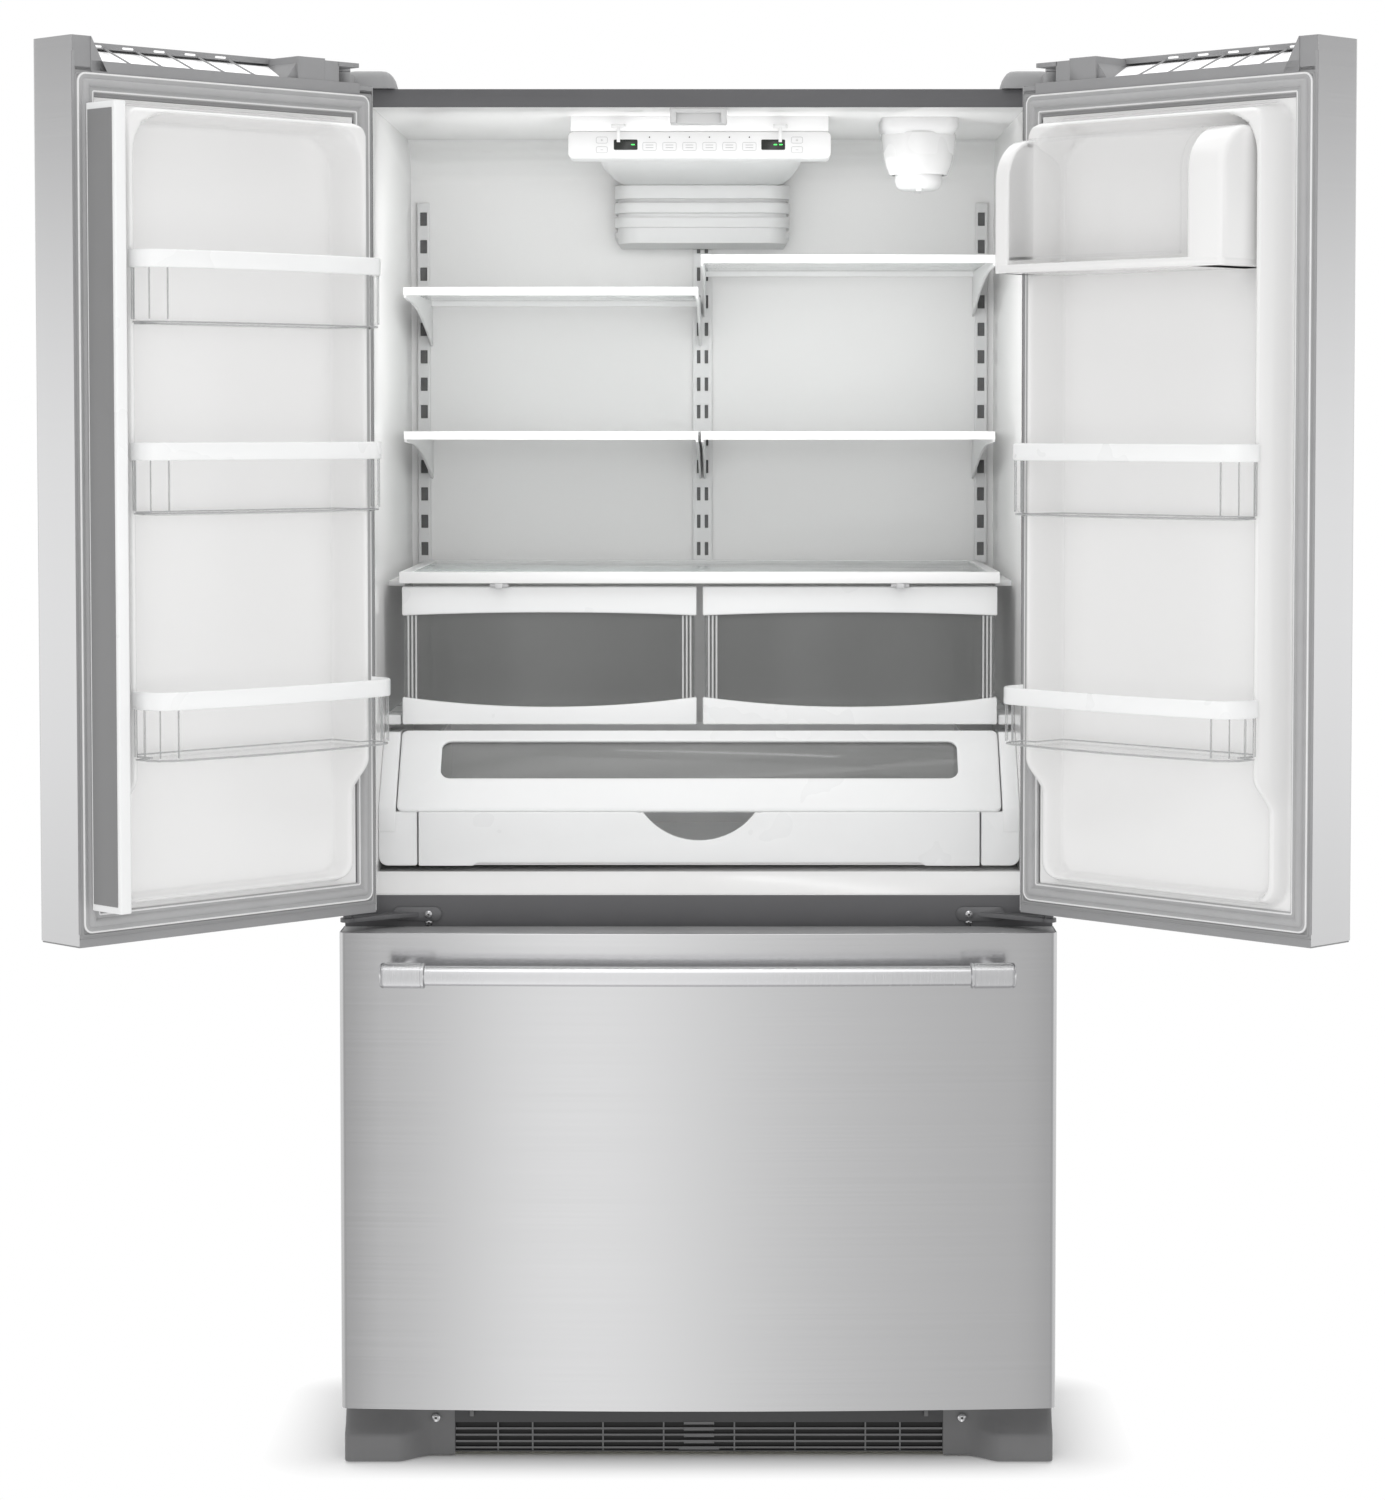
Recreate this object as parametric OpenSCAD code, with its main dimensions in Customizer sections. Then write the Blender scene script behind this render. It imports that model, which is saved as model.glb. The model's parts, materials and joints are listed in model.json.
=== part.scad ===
// French door refrigerator with a bottom freezer drawer, both fresh food doors standing open.
// Millimetres, +Z up, the front faces -Y. Modules use heights above the floor and depths
// behind the cabinet's front face; in_part_frame() moves them so that the origin lies on the
// floor under the centre of the whole footprint.

/* [Cabinet] */
// Width of the cabinet and of the freezer front
cabinet_w = 905; // [903:1:907]
// Height of the cabinet's top panel above the floor
cabinet_h = 1750; // [1748:1:1754]
// Depth of the steel case behind its front face
case_d = 736; // [725:1:740]
// Height of the lower edge of the side panels
case_bottom = 24; // [20:1:26]
// Depth of the front face behind the origin (negative is forward)
front_y = -147.2; // [-150:0.1:-140]

/* [Fresh food compartment] */
// Half of the clear width between the side walls
inner_half_w = 414; // [413:1:415]
// Height of the front sill
fresh_sill = 725; // [722:1:726]
// Height of the compartment floor behind the sill
fresh_floor = 750; // [745:1:752]
// Height of the ceiling
fresh_top = 1727; // [1722:1:1728]
// Depth of the back wall
fresh_back = 560; // [558:1:570]
// Depth of the shelves' front edges
shelf_front = 125; // [122:1:130]
// Half width of a pair of shelves
shelf_half_w = 386; // [380:1:388]

/* [Freezer compartment] */
// Height of the freezer floor
freezer_floor = 95; // [95:1:98]
// Height of the freezer ceiling
freezer_top = 675; // [670:1:676]
// Depth of the freezer behind the evaporator cover
freezer_back = 540; // [538:1:545]
// Height of the ledge over the machine compartment
machine_top = 300; // [296:1:302]
// Depth of the freezer below that ledge
freezer_low_back = 450; // [446:1:452]

/* [Doors] */
// Angle at which both doors stand open
door_open = 134.5; // [90:0.5:134.5]
// Sideways distance of a hinge pin from the centre
pin_x = 443; // [442:1:444]
// Depth of a hinge pin (negative is in front of the cabinet)
pin_y = -55; // [-56:1:-54]
// Width of one door
door_w = 451; // [449:1:451]
// Height of a door's lower edge
door_bottom = 714; // [713:1:716]
// Height of a door's upper rim
door_top = 1776; // [1774:1:1778]
// Depth of the front skin at the cabinet's outer edges
skin_edge_y = -74; // [-76:1:-72]
// How far the front skin bulges at the centre
skin_bulge = 16; // [12:1:20]

/* [Freezer drawer] */
// Height of the drawer front's lower edge
freezer_front_bottom = 81; // [81:1:84]
// Height of the drawer front's upper edge
freezer_front_top = 687; // [684:1:688]
// Height of the drawer handle
freezer_handle_z = 641; // [630:1:645]

/* [Hidden] */
$fn = 64;
skin_t = 1.2;
liner_t = 3;
gap = 0.2;
half_w = cabinet_w / 2;
foam_in = inner_half_w + liner_t + gap;
foam_out = half_w - 2.5;
foam_back = case_d - 2.5;
// the front skin follows one large circle across the whole width
bulge_r = (half_w * half_w + skin_bulge * skin_bulge) / (2 * skin_bulge);
bulge_y = skin_edge_y - skin_bulge + bulge_r;
// door frame: u along the door from the pin, v from the pin towards the inside
door_u0 = pin_x - half_w;
door_u1 = door_u0 + door_w;
door_v = 45;
door_frame_t = 4;
cap_low_top = 1748;
hinge_step_top = 1745;
hinge_step_u = 66;
core_top = 1736;
core_bottom = 724;
// liner ridge of a door
ridge_u = [35, 408];
ridge_z = [757, 1702];
ridge_w = 24;
ridge_top_h = 22;
ridge_v = 97;
ridge_low_v = 65;
curve_z = [868, 915];
bin_bow_r = 1111;
mullion_pivot = [423.25, 63.75];
mullion_z = [758, 1698];
pivot_heights = [860, 1222, 1584];
arch_z = 1620;
butter_pivot = [112, 1665];
handle_v = -85;
handle_r = 12.5;
ferrule_r = 16;
ferrule_l = 57;
pin_r = 6;
pin_bore_r = 6.3;
boss_r = 8;
wheel_r = 22;
front_wheel_y = 70;
rear_wheel_y = 650;
foot_x = 404;
foot_y = 26;
crisper_z = [933, 1114];
deli_floor = 757;
panel_z = [1672, 1707];
visor_pivot = [130, 915];
filter_x = 288;
filter_y = 190;

// ---- helpers ----

// Moves a shape from depths behind the front face to the part's own frame
module in_part_frame() {
    translate([0, front_y, 0]) children();
}

// A box between two values on each axis
module slab(x, y, z) {
    translate([x[0], y[0], z[0]]) cube([x[1] - x[0], y[1] - y[0], z[1] - z[0]]);
}

// A shape and its mirror image on the other side of the cabinet
module both_sides() {
    children();
    mirror([1, 0, 0]) children();
}

// A rectangle with four round corners
module round_rect(x, y, r) {
    translate([x[0] + r, y[0]]) square([x[1] - x[0] - 2 * r, y[1] - y[0]]);
    translate([x[0], y[0] + r]) square([x[1] - x[0], y[1] - y[0] - 2 * r]);
    for (cx = [x[0] + r, x[1] - r], cy = [y[0] + r, y[1] - r]) translate([cx, cy]) circle(r);
}

// An outline in plan, raised from a height
module linear_extrude_at(z, h) {
    translate([0, 0, z]) linear_extrude(h) children();
}

// An outline in depth and height, extruded between two sideways positions
module side_extrude(x) {
    translate([x[0], 0, 0]) rotate([90, 0, 90]) linear_extrude(x[1] - x[0]) children();
}

// An outline in width and height, extruded between two depths
module front_extrude(y) {
    translate([0, y[1], 0]) rotate([90, 0, 0]) linear_extrude(y[1] - y[0]) children();
}

// A round bar across the cabinet, and one from front to back
module cylinder_x(x, r) {
    translate([x[0], 0, 0]) rotate([0, 90, 0]) cylinder(r = r, h = x[1] - x[0]);
}

module cylinder_y(y, r) {
    translate([0, y[1], 0]) rotate([90, 0, 0]) cylinder(r = r, h = y[1] - y[0]);
}

// ---- cabinet ----

module outer_case() {
    color("dimgray") in_part_frame() {
        both_sides() slab([half_w - 2.3, half_w], [0, case_d], [case_bottom, cabinet_h]);
        slab([-half_w, half_w], [0, case_d], [cabinet_h - 2, cabinet_h]);
        difference() {
            slab([-half_w, half_w], [0, 2], [62, cabinet_h]);
            slab([-inner_half_w, inner_half_w], [-1, 3], [fresh_sill, fresh_top]);
            slab([-inner_half_w, inner_half_w], [-1, 3], [freezer_floor, freezer_top + 8]);
        }
    }
}

// Foamed walls, one slab for each wall
module insulation() {
    inner = [-foam_in + gap, foam_in - gap];
    shelf_back = 476;
    color("khaki") in_part_frame() {
        both_sides() slab([foam_in, foam_out], [2 + gap, foam_back], [62, cabinet_h - 2.2]);
        slab(inner, [2 + gap, foam_back], [fresh_top + 3.2, cabinet_h - 2.2]);
        slab(inner, [fresh_back + 3.2, foam_back], [683, fresh_top + 3]);
        slab(inner, [2 + gap, fresh_back + 3], [freezer_top + 3.2, fresh_sill - 3.2]);
        slab(inner, [freezer_back + 3.2, foam_back], [machine_top - 3, 682.8]);
        slab(inner, [2 + gap, freezer_low_back + 3], [62, freezer_floor - 3.2]);
        slab(inner, [freezer_low_back + 3.2, shelf_back], [62, machine_top - 3.2]);
        slab(inner, [shelf_back + gap, foam_back], [276, machine_top - 3.2]);
    }
}

// White inner shell of the fresh food compartment, with a sloped sill and a coved ceiling
module fridge_liner() {
    cove = 60;
    color("white") in_part_frame() difference() {
        slab([-inner_half_w - liner_t, inner_half_w + liner_t], [2.1, fresh_back + liner_t],
            [fresh_sill - liner_t, fresh_top + liner_t]);
        side_extrude([-inner_half_w, inner_half_w]) difference() {
            polygon([[0, fresh_sill], [12, fresh_sill], [42, fresh_floor], [fresh_back, fresh_floor],
                [fresh_back, fresh_top], [0, fresh_top]]);
            difference() {
                translate([fresh_back - cove, fresh_top - cove]) square(cove + 1);
                translate([fresh_back - cove, fresh_top - cove]) circle(cove);
            }
        }
    }
}

// White inner shell of the freezer, stepped over the machine compartment
module freezer_liner() {
    color("white") in_part_frame() difference() {
        side_extrude([-inner_half_w - liner_t, inner_half_w + liner_t])
            polygon([[2.1, freezer_floor - 3], [freezer_low_back + 3, freezer_floor - 3],
                [freezer_low_back + 3, machine_top], [freezer_back + 3, machine_top],
                [freezer_back + 3, freezer_top + 3], [2.1, freezer_top + 3]]);
        side_extrude([-inner_half_w, inner_half_w])
            polygon([[0, freezer_floor], [freezer_low_back, freezer_floor],
                [freezer_low_back, machine_top + 3], [freezer_back, machine_top + 3],
                [freezer_back, freezer_top], [0, freezer_top]]);
    }
}

// Steel back sheet, and the slotted cover of the machine compartment
module rear_panels() {
    slot_count = 11;
    color("gray") in_part_frame() {
        slab([-450, 450], [case_d - 2.3, case_d - 0.5], [machine_top - 2, cabinet_h - 2.2]);
        difference() {
            slab([-450, 450], [case_d - 2.3, case_d + 2], [62, machine_top - 4]);
            for (i = [0 : slot_count - 1], side = [-1, 1])
                slab([side * 230 - 150, side * 230 + 150], [case_d - 4, case_d + 3],
                    [92 + 16 * i, 98 + 16 * i]);
        }
    }
}

// Chassis rails, front and rear cross members, and the tray that carries the machinery
module base_frame() {
    color("slategray") in_part_frame() {
        difference() {
            union() {
                both_sides() slab([426, 446], [6, 720], [case_bottom + 2, 61.5]);
                slab([-446, 446], [6, 9], [30, 61.5]);
                slab([-446, 446], [478, 481], [30, 61.5]);
                slab([-385, 385], [478, 720], [28, 31]);
                slab([-446, 446], [717, 720], [28, 61.5]);
                both_sides() slab([380, 385], [478, 720], [28, 61.5]);
                both_sides() translate([foot_x, foot_y, 30]) cylinder(r = 17.5, h = 31.5);
            }
            both_sides() translate([foot_x, foot_y, 20]) cylinder(r = pin_bore_r, h = 60);
            for (y = [front_wheel_y, rear_wheel_y])
                translate([0, y, wheel_r]) cylinder_x([-460, 460], 4.3);
        }
    }
}

// ---- machinery ----

module compressor() {
    can_r = 82;
    color("#202226") in_part_frame() translate([-230, 600, 0]) {
        for (x = [-70, 70], y = [-60, 60]) translate([x, y, 31]) cylinder(r = 12, h = 15);
        translate([0, 0, 46]) slab([-90, 90], [-80, 80], [0, 4]);
        translate([0, 0, 50]) cylinder(r = can_r, h = 110);
        translate([0, 0, 160]) intersection() {
            scale(can_r / 100) sphere(100);
            cylinder(r = can_r, h = can_r);
        }
        translate([0, -60, 190]) cylinder(r = 4, h = 50);
        slab([80, 108], [-30, 30], [90, 150]);
    }
}

// Tube and fin block
module condenser() {
    color("#5a5f66") in_part_frame() {
        for (i = [0 : 13]) slab([120 + 18 * i, 121.5 + 18 * i], [540, 690], [60, 210]);
        for (y = [565, 615, 665], z = [85, 135, 185]) translate([0, y, z]) cylinder_x([110, 365], 4);
        slab([110, 112], [540, 690], [60, 210]);
        slab([363, 365], [540, 690], [60, 210]);
        for (x = [112, 355]) slab([x, x + 8], [600, 630], [31, 61]);
    }
}

// Propeller of a cooling fan, its axis along Z
module fan_wheel(r, depth) {
    difference() {
        cylinder(r = r * 0.26, h = depth);
        translate([0, 0, -1]) cylinder(r = 3.2, h = depth * 0.6);
    }
    for (a = [0 : 72 : 288]) rotate([0, 0, a]) translate([r * 0.2, 0, depth / 2])
        rotate([32, 0, 0]) translate([0, -r * 0.2, -1]) cube([r * 0.78, r * 0.42, 2]);
}

module condenser_fan() {
    color("#303338") in_part_frame() translate([40, 615, 135]) rotate([0, 90, 0]) fan_wheel(66, 24);
}

module evaporator_fan() {
    color("#e8e8e4") in_part_frame() translate([0, 516, 600]) rotate([90, 0, 0]) fan_wheel(50, 18);
}

module evaporator() {
    color("#b9bec4") in_part_frame() {
        for (i = [0 : 23]) slab([-277 + 24 * i, -275.5 + 24 * i], [490, 530], [330, 520]);
        for (y = [500, 520], z = [350, 400, 450, 500]) translate([0, y, z]) cylinder_x([-290, 290], 4);
        for (x = [-290, 288]) slab([x, x + 2], [490, 530], [330, 520]);
    }
}

// Panel in front of the evaporator, with a round grille for the fan
module evaporator_cover() {
    color("whitesmoke") in_part_frame() difference() {
        slab([-412, 412], [479, 482], [304, 674]);
        difference() {
            translate([0, 0, 600]) cylinder_y([470, 490], 54);
            for (z = [560, 586, 612, 638]) slab([-60, 60], [478, 483], [z, z + 6]);
        }
        for (i = [0 : 7]) slab([-350, 350], [478, 483], [312 + 11 * i, 317 + 11 * i]);
    }
}

// ---- base trim ----

module toe_grille() {
    rib_x = [45, 83, 122, 211, 256];
    slot_w = 313;
    color("#4c4c4c") in_part_frame() difference() {
        slab([-366, 366], [-5, -1], [6, 78]);
        for (i = [0 : 3]) difference() {
            slab([-slot_w, slot_w], [-7, 1], [10 + 9 * i, 14.5 + 9 * i]);
            for (x = rib_x, side = [-1, 1]) slab([side * x - 1.2, side * x + 1.2], [-8, 2], [8, 50]);
        }
    }
}

// Covers over the front feet, with a hollow sweep towards the grille
module foot_covers() {
    box_x = 368;
    sweep = 36;
    color("#7a7a7a") in_part_frame() both_sides() {
        difference() {
            side_extrude([box_x, half_w])
                polygon([[-40, 2], [-40, 44], [-28, 52], [-16, 79], [-0.3, 79], [-0.3, 2]]);
            side_extrude([box_x + 3, half_w - 3])
                polygon([[-37, 1], [-37, 42], [-25, 50], [-13, 76], [1, 76], [1, 1]]);
        }
        difference() {
            slab([box_x - sweep, box_x], [-40, -5.2], [2, 44]);
            translate([box_x - sweep, -40, 1]) cylinder(r = sweep - 2.5, h = 50);
        }
    }
}

module levelling_foot() {
    translate([foot_x, foot_y, 0]) {
        cylinder(r = 17, h = 8);
        cylinder(r = pin_r, h = 58);
        translate([0, 0, 8]) cylinder(r = 10, h = 8, $fn = 6);
    }
}

module levelling_foot_left() {
    color("#8a8d90") in_part_frame() mirror([1, 0, 0]) levelling_foot();
}

module levelling_foot_right() {
    color("#8a8d90") in_part_frame() levelling_foot();
}

// A pair of wheels with their stub axles
module roller_pair(y, lift) {
    translate([0, y, wheel_r]) both_sides() {
        cylinder_x([390, 414], wheel_r - lift);
        cylinder_x([388, 445], 4);
    }
}

module front_rollers() {
    color("#3a3a3a") in_part_frame() roller_pair(front_wheel_y, 1);
}

module rear_rollers() {
    color("#3a3a3a") in_part_frame() roller_pair(rear_wheel_y, 0);
}

// ---- hinges on the cabinet ----

// Upper brackets on the top panel and lower brackets on the centre rail, each with its pin
module hinge_brackets() {
    plate_z = 701;
    color("#9a9a9a") in_part_frame() both_sides() {
        slab([392, 451], [-4, 52], [cabinet_h, cabinet_h + 4]);
        slab([pin_x - 8, pin_x + 8], [pin_y, 0], [cabinet_h, cabinet_h + 4]);
        translate([pin_x, pin_y, cabinet_h]) cylinder(r = 8, h = 4);
        translate([pin_x, pin_y, cabinet_h - 22]) cylinder(r = pin_r, h = 24);
        front_extrude([-4, 0]) {
            translate([382, plate_z]) circle(9);
            translate([338, plate_z]) circle(9);
            translate([338, plate_z - 9]) square([44, 18]);
        }
        translate([345, 0, plate_z]) cylinder_y([-7, -3], 4.5);
        linear_extrude_at(698, 5) polygon([[352, 0], [pin_x - 9, pin_y - 5], [pin_x + 8, pin_y],
            [pin_x + 4, pin_y + 10], [394, 0]]);
        translate([pin_x, pin_y, 698]) cylinder(r = 9.5, h = 5);
        translate([pin_x, pin_y, 700]) cylinder(r = pin_r, h = 34);
    }
}

// Moulded covers over the upper brackets
module hinge_covers() {
    top = 1773;
    arm_r = 9.3;
    color("#9b9b9b") in_part_frame() both_sides() difference() {
        linear_extrude_at(cabinet_h + 0.2, top - cabinet_h - 0.2) {
            translate([pin_x, pin_y]) circle(arm_r);
            translate([pin_x - arm_r, pin_y]) square([2 * arm_r, -pin_y]);
            round_rect([384, half_w - 0.5], [-9, 60], 9);
        }
        slab([390, half_w - 1.2], [-5, 54], [cabinet_h - 1, top - 3]);
        slab([pin_x - 8.2, pin_x + 8.2], [pin_y - 1, 1], [cabinet_h - 1, cabinet_h + 6]);
        translate([pin_x, pin_y, cabinet_h - 1]) cylinder(r = 8.2, h = 7);
    }
}

// ---- ceiling and back wall of the fresh food compartment ----

// Housing of the controls, its air channel, the diffuser on the back wall and the mullion guide
module control_housing() {
    color("white") in_part_frame() {
        difference() {
            slab([-171, 171], [134, 190], [panel_z[0], panel_z[1]]);
            slab([-165, 165], [133, 184], [panel_z[0] + 3, panel_z[1] - 3]);
        }
        difference() {
            side_extrude([-137, 137]) polygon([[190, panel_z[0]], [190, fresh_top], [499, fresh_top],
                [499, 1660], [330, 1660]]);
            side_extrude([-133, 133]) polygon([[194, panel_z[0] + 4], [194, fresh_top - 4],
                [495, fresh_top - 4], [495, 1664], [330, 1664]]);
        }
        difference() {
            side_extrude([-112, 112]) polygon([[480, 1612], [480, 1659.8], [559.8, 1659.8], [559.8, 1575],
                [516, 1575], [494, 1586]]);
            for (i = [0 : 2]) slab([-100, 100], [470, 500], [1614 + 15 * i, 1621 + 15 * i]);
        }
        difference() {
            slab([-36, 36], [8, 46], [1708, fresh_top]);
            slab([-28, 28], [7, 22], [1707, 1721]);
        }
    }
}

// Flat fascia with two display recesses and a row of touch pads
module control_panel() {
    color("gainsboro") in_part_frame() difference() {
        slab([-171, 171], [128, 133.8], [panel_z[0], panel_z[1]]);
        for (side = [-1, 1]) slab([side * 96 - 15.5, side * 96 + 15.5], [127, 129], [1683, 1696.5]);
    }
}

module light_lens() {
    color("#e8f2f4", 0.6) in_part_frame() difference() {
        slab([-168, 168], [130, 189.8], [panel_z[1] + 0.2, fresh_top]);
        slab([-165, 165], [133, 187], [panel_z[1] - 1, fresh_top - 3]);
    }
}

// T-shaped lever that the closing door presses
module light_switch() {
    front_extrude([112, 116]) {
        translate([-8, 1710]) square([16, 6]);
        translate([-2.5, 1686]) square([5, 26]);
    }
    translate([0, 118, 1713]) cylinder_x([-10, 10], 2.5);
    slab([-8, 8], [115, 118], [1711, 1715]);
}

module light_switch_left() {
    color("white") in_part_frame() translate([-105, 0, 0]) light_switch();
}

module light_switch_right() {
    color("white") in_part_frame() translate([105, 0, 0]) light_switch();
}

// Bracket and clear hood of the water filter
module filter_housing() {
    color("white") in_part_frame() difference() {
        union() {
            slab([238, 338], [140, 250], [1704, fresh_top]);
            slab([238, 242], [150, 240], [1650, 1704]);
            slab([334, 338], [150, 240], [1650, 1704]);
            slab([238, 338], [240, 244], [1640, 1704]);
        }
        translate([filter_x, filter_y, 1690]) cylinder(r = 12.4, h = 26);
    }
}

// Cartridge with a grip bar at its lower end and a bayonet neck at its upper end
module water_filter() {
    color("#eef2f4") in_part_frame() translate([filter_x, filter_y, 0]) {
        translate([0, 0, 1646]) cylinder(r = 31, h = 56);
        translate([0, 0, 1702]) cylinder(r = 12, h = 12);
        intersection() {
            slab([-4, 4], [-28, 28], [1632, 1646]);
            translate([0, 0, 1632]) cylinder(r = 28, h = 15);
        }
    }
}

// ---- shelves ----

// Slotted steel strips on the back wall
module shelf_ladders() {
    pitch = 39;
    color("gainsboro") in_part_frame() difference() {
        union() {
            for (x = [-396, 396]) slab([x - 9, x + 9], [fresh_back - 6, fresh_back - 0.2], [1130, 1640]);
            slab([-14, 14], [fresh_back - 6, fresh_back - 0.2], [1130, 1574]);
        }
        for (i = [0 : 12], slot = [[-396, 5], [-5.5, 2.5], [5.5, 2.5], [396, 5]])
            slab([slot[0] - slot[1], slot[0] + slot[1]], [fresh_back - 7, fresh_back - 1.5],
                [1140 + pitch * i, 1159 + pitch * i]);
    }
}

// Curved cantilever arm of a shelf, in depth and height
module shelf_arm(top) {
    back = fresh_back - 6.5;
    start = shelf_front + 60;
    drop = 52;
    steps = 8;
    polygon(concat([[shelf_front + 8, top - 2], [shelf_front + 8, top - 11]],
        [for (i = [0 : steps])
            [start + (back - start) * i / steps, top - 13 - drop * (1 - cos(90 * i / steps))]],
        [[back, top - 2]]));
}

// Frame of one shelf: front and back rails, two arms
module shelf_frame(x, top) {
    glass_drop = 4.7;
    slab(x, [shelf_front, shelf_front + 13], [top - 10.5, top]);
    slab(x, [shelf_front + 13, shelf_front + 17], [top - 10.5, top - glass_drop]);
    slab(x, [525, 538], [top - 12, top - glass_drop]);
    side_extrude([x[0], x[0] + 3]) shelf_arm(top - glass_drop + 2);
    side_extrude([x[1] - 3, x[1]]) shelf_arm(top - glass_drop + 2);
}

SHELVES = [[[-shelf_half_w, -2], 1505], [[2, shelf_half_w], 1547],
    [[-shelf_half_w, -2], 1317], [[2, shelf_half_w], 1317]];

module shelf_frames() {
    color("white") in_part_frame() {
        for (s = SHELVES) shelf_frame(s[0], s[1]);
        difference() {
            slab([-392, 392], [115, 545], [1119, 1133.5]);
            slab([-378, 378], [135, 530], [1128.5, 1134]);
            slab([-370, 370], [141, 524], [1118, 1134]);
        }
        slab([-3, 3], [141, 524], [1119, 1128.3]);
        both_sides() slab([392, inner_half_w - 0.2], [200, 540], [1112, 1118.8]);
    }
}

module glass_panes() {
    color("#d8efe8", 0.4) in_part_frame() {
        for (s = SHELVES)
            slab([s[0][0] + 0.5, s[0][1] - 0.5], [shelf_front + 13.2, 538], [s[1] - 4.5, s[1] - 0.4]);
        slab([-377.8, 377.8], [135.2, 529.8], [1128.7, 1132.7]);
    }
}

// Knob that slides under the front edge of the crisper cover
module humidity_slider() {
    slab([-12, 12], [117, 127], [1114.2, 1118.8]);
    slab([-5, 5], [110, 117], [1112.5, 1118.8]);
}

module humidity_slider_left() {
    color("lightgray") in_part_frame() translate([-262, 0, 0]) humidity_slider();
}

module humidity_slider_right() {
    color("lightgray") in_part_frame() translate([262, 0, 0]) humidity_slider();
}

// ---- drawers of the fresh food compartment ----

// Crisper: clear tub behind a framed window front with a dipped lower edge
module crisper() {
    x = [4, 390];
    win = [26, 368];
    color("white") {
        difference() {
            slab([x[0] + 6, x[1] - 6], [142, 530], [crisper_z[0], crisper_z[1] - 14]);
            slab([x[0] + 9, x[1] - 9], [145, 527], [crisper_z[0] + 3, crisper_z[1]]);
        }
        difference() {
            slab(x, [130, 142], crisper_z);
            front_extrude([129, 143]) difference() {
                round_rect(win, [956, 1078], 8);
                translate([(win[0] + win[1]) / 2, 972 - 900]) circle(900, $fn = 240);
            }
        }
    }
}

module crisper_left() {
    in_part_frame() mirror([1, 0, 0]) crisper();
}

module crisper_right() {
    in_part_frame() crisper();
}

// Wide drawer under the crispers, its front panel with a half-round finger notch
module deli_drawer() {
    notch_r = 90;
    notch_z = 880;
    color("white") in_part_frame() {
        difference() {
            slab([-360, 360], [50, 535], [deli_floor, 905]);
            slab([-357, 357], [53, 532], [deli_floor + 3, 906]);
            side_extrude([-361, 361]) polygon([[40, 827], [56, 827], [130, 906], [40, 906]]);
            translate([0, 0, notch_z]) cylinder_y([43, 60], notch_r);
        }
        difference() {
            slab([-362, 362], [44, 50], [deli_floor, 827]);
            translate([0, 0, notch_z]) cylinder_y([43, 51], notch_r);
        }
        both_sides() slab([356, 364.8], [132, 138], [860, 904]);
        both_sides() difference() {
            side_extrude([364.8, 368]) polygon([[122, 872], [138, 872], [138, 921], [127, 911], [122, 905]]);
            translate([0, visor_pivot[0], visor_pivot[1]]) cylinder_x([360, 370], 2.8);
        }
    }
}

// Slanted window cover that lifts about its upper edge
module deli_visor() {
    color("white") in_part_frame() {
        difference() {
            side_extrude([-390, 390])
                polygon([[44, 829], [50, 829], [131, 924], [131, 925.5], [120, 925.5], [44, 836]]);
            front_extrude([30, 130]) round_rect([-336, 336], [865, 911], 12);
        }
        both_sides() side_extrude([368.3, 372])
            polygon([[52, 832], [60, 832], [135, 908], [136, 920], [131, 924.5]]);
        both_sides() translate([0, visor_pivot[0], visor_pivot[1]]) cylinder_x([365.5, 369], 2.5);
    }
}

// Fixed guides beside the deli drawer and under the crispers
module drawer_runners() {
    color("white") in_part_frame() both_sides() {
        slab([364, inner_half_w - 0.2], [46, 545], [fresh_floor + 0.2, 826]);
        slab([392.5, inner_half_w - 0.2], [140, 545], [932, 945]);
    }
}

// ---- doors, drawn closed in their own frame and then swung open ----

module on_door_left() {
    in_part_frame() translate([-pin_x, pin_y, 0]) rotate([0, 0, -door_open]) children();
}

module on_door_right() {
    mirror([1, 0, 0]) on_door_left() children();
}

// Plan of a door inside its skin, drawn in from the outside by an inset
module door_plan(inset, back) {
    intersection() {
        translate([door_u0 + inset, -80]) square([door_w - 2 * inset, 80 + back]);
        translate([pin_x, bulge_y - pin_y]) circle(bulge_r - inset, $fn = 720);
    }
}

module door_skin() {
    difference() {
        linear_extrude_at(door_bottom + 2, door_top - door_bottom - 2) difference() {
            door_plan(0, door_v);
            door_plan(skin_t, door_v + 1);
        }
        slab([door_u0 - 1, hinge_step_u], [-90, 90], [hinge_step_top + 1, door_top + 1]);
    }
}

module door_core() {
    difference() {
        linear_extrude_at(core_bottom + gap, core_top - core_bottom - 2 * gap)
            door_plan(skin_t + gap, door_v - door_frame_t - gap);
        translate([0, 0, core_bottom - 1]) cylinder(r = boss_r + gap, h = 16);
        translate([0, 0, core_top - 14 - gap]) cylinder(r = boss_r + gap, h = 16);
    }
}

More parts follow.
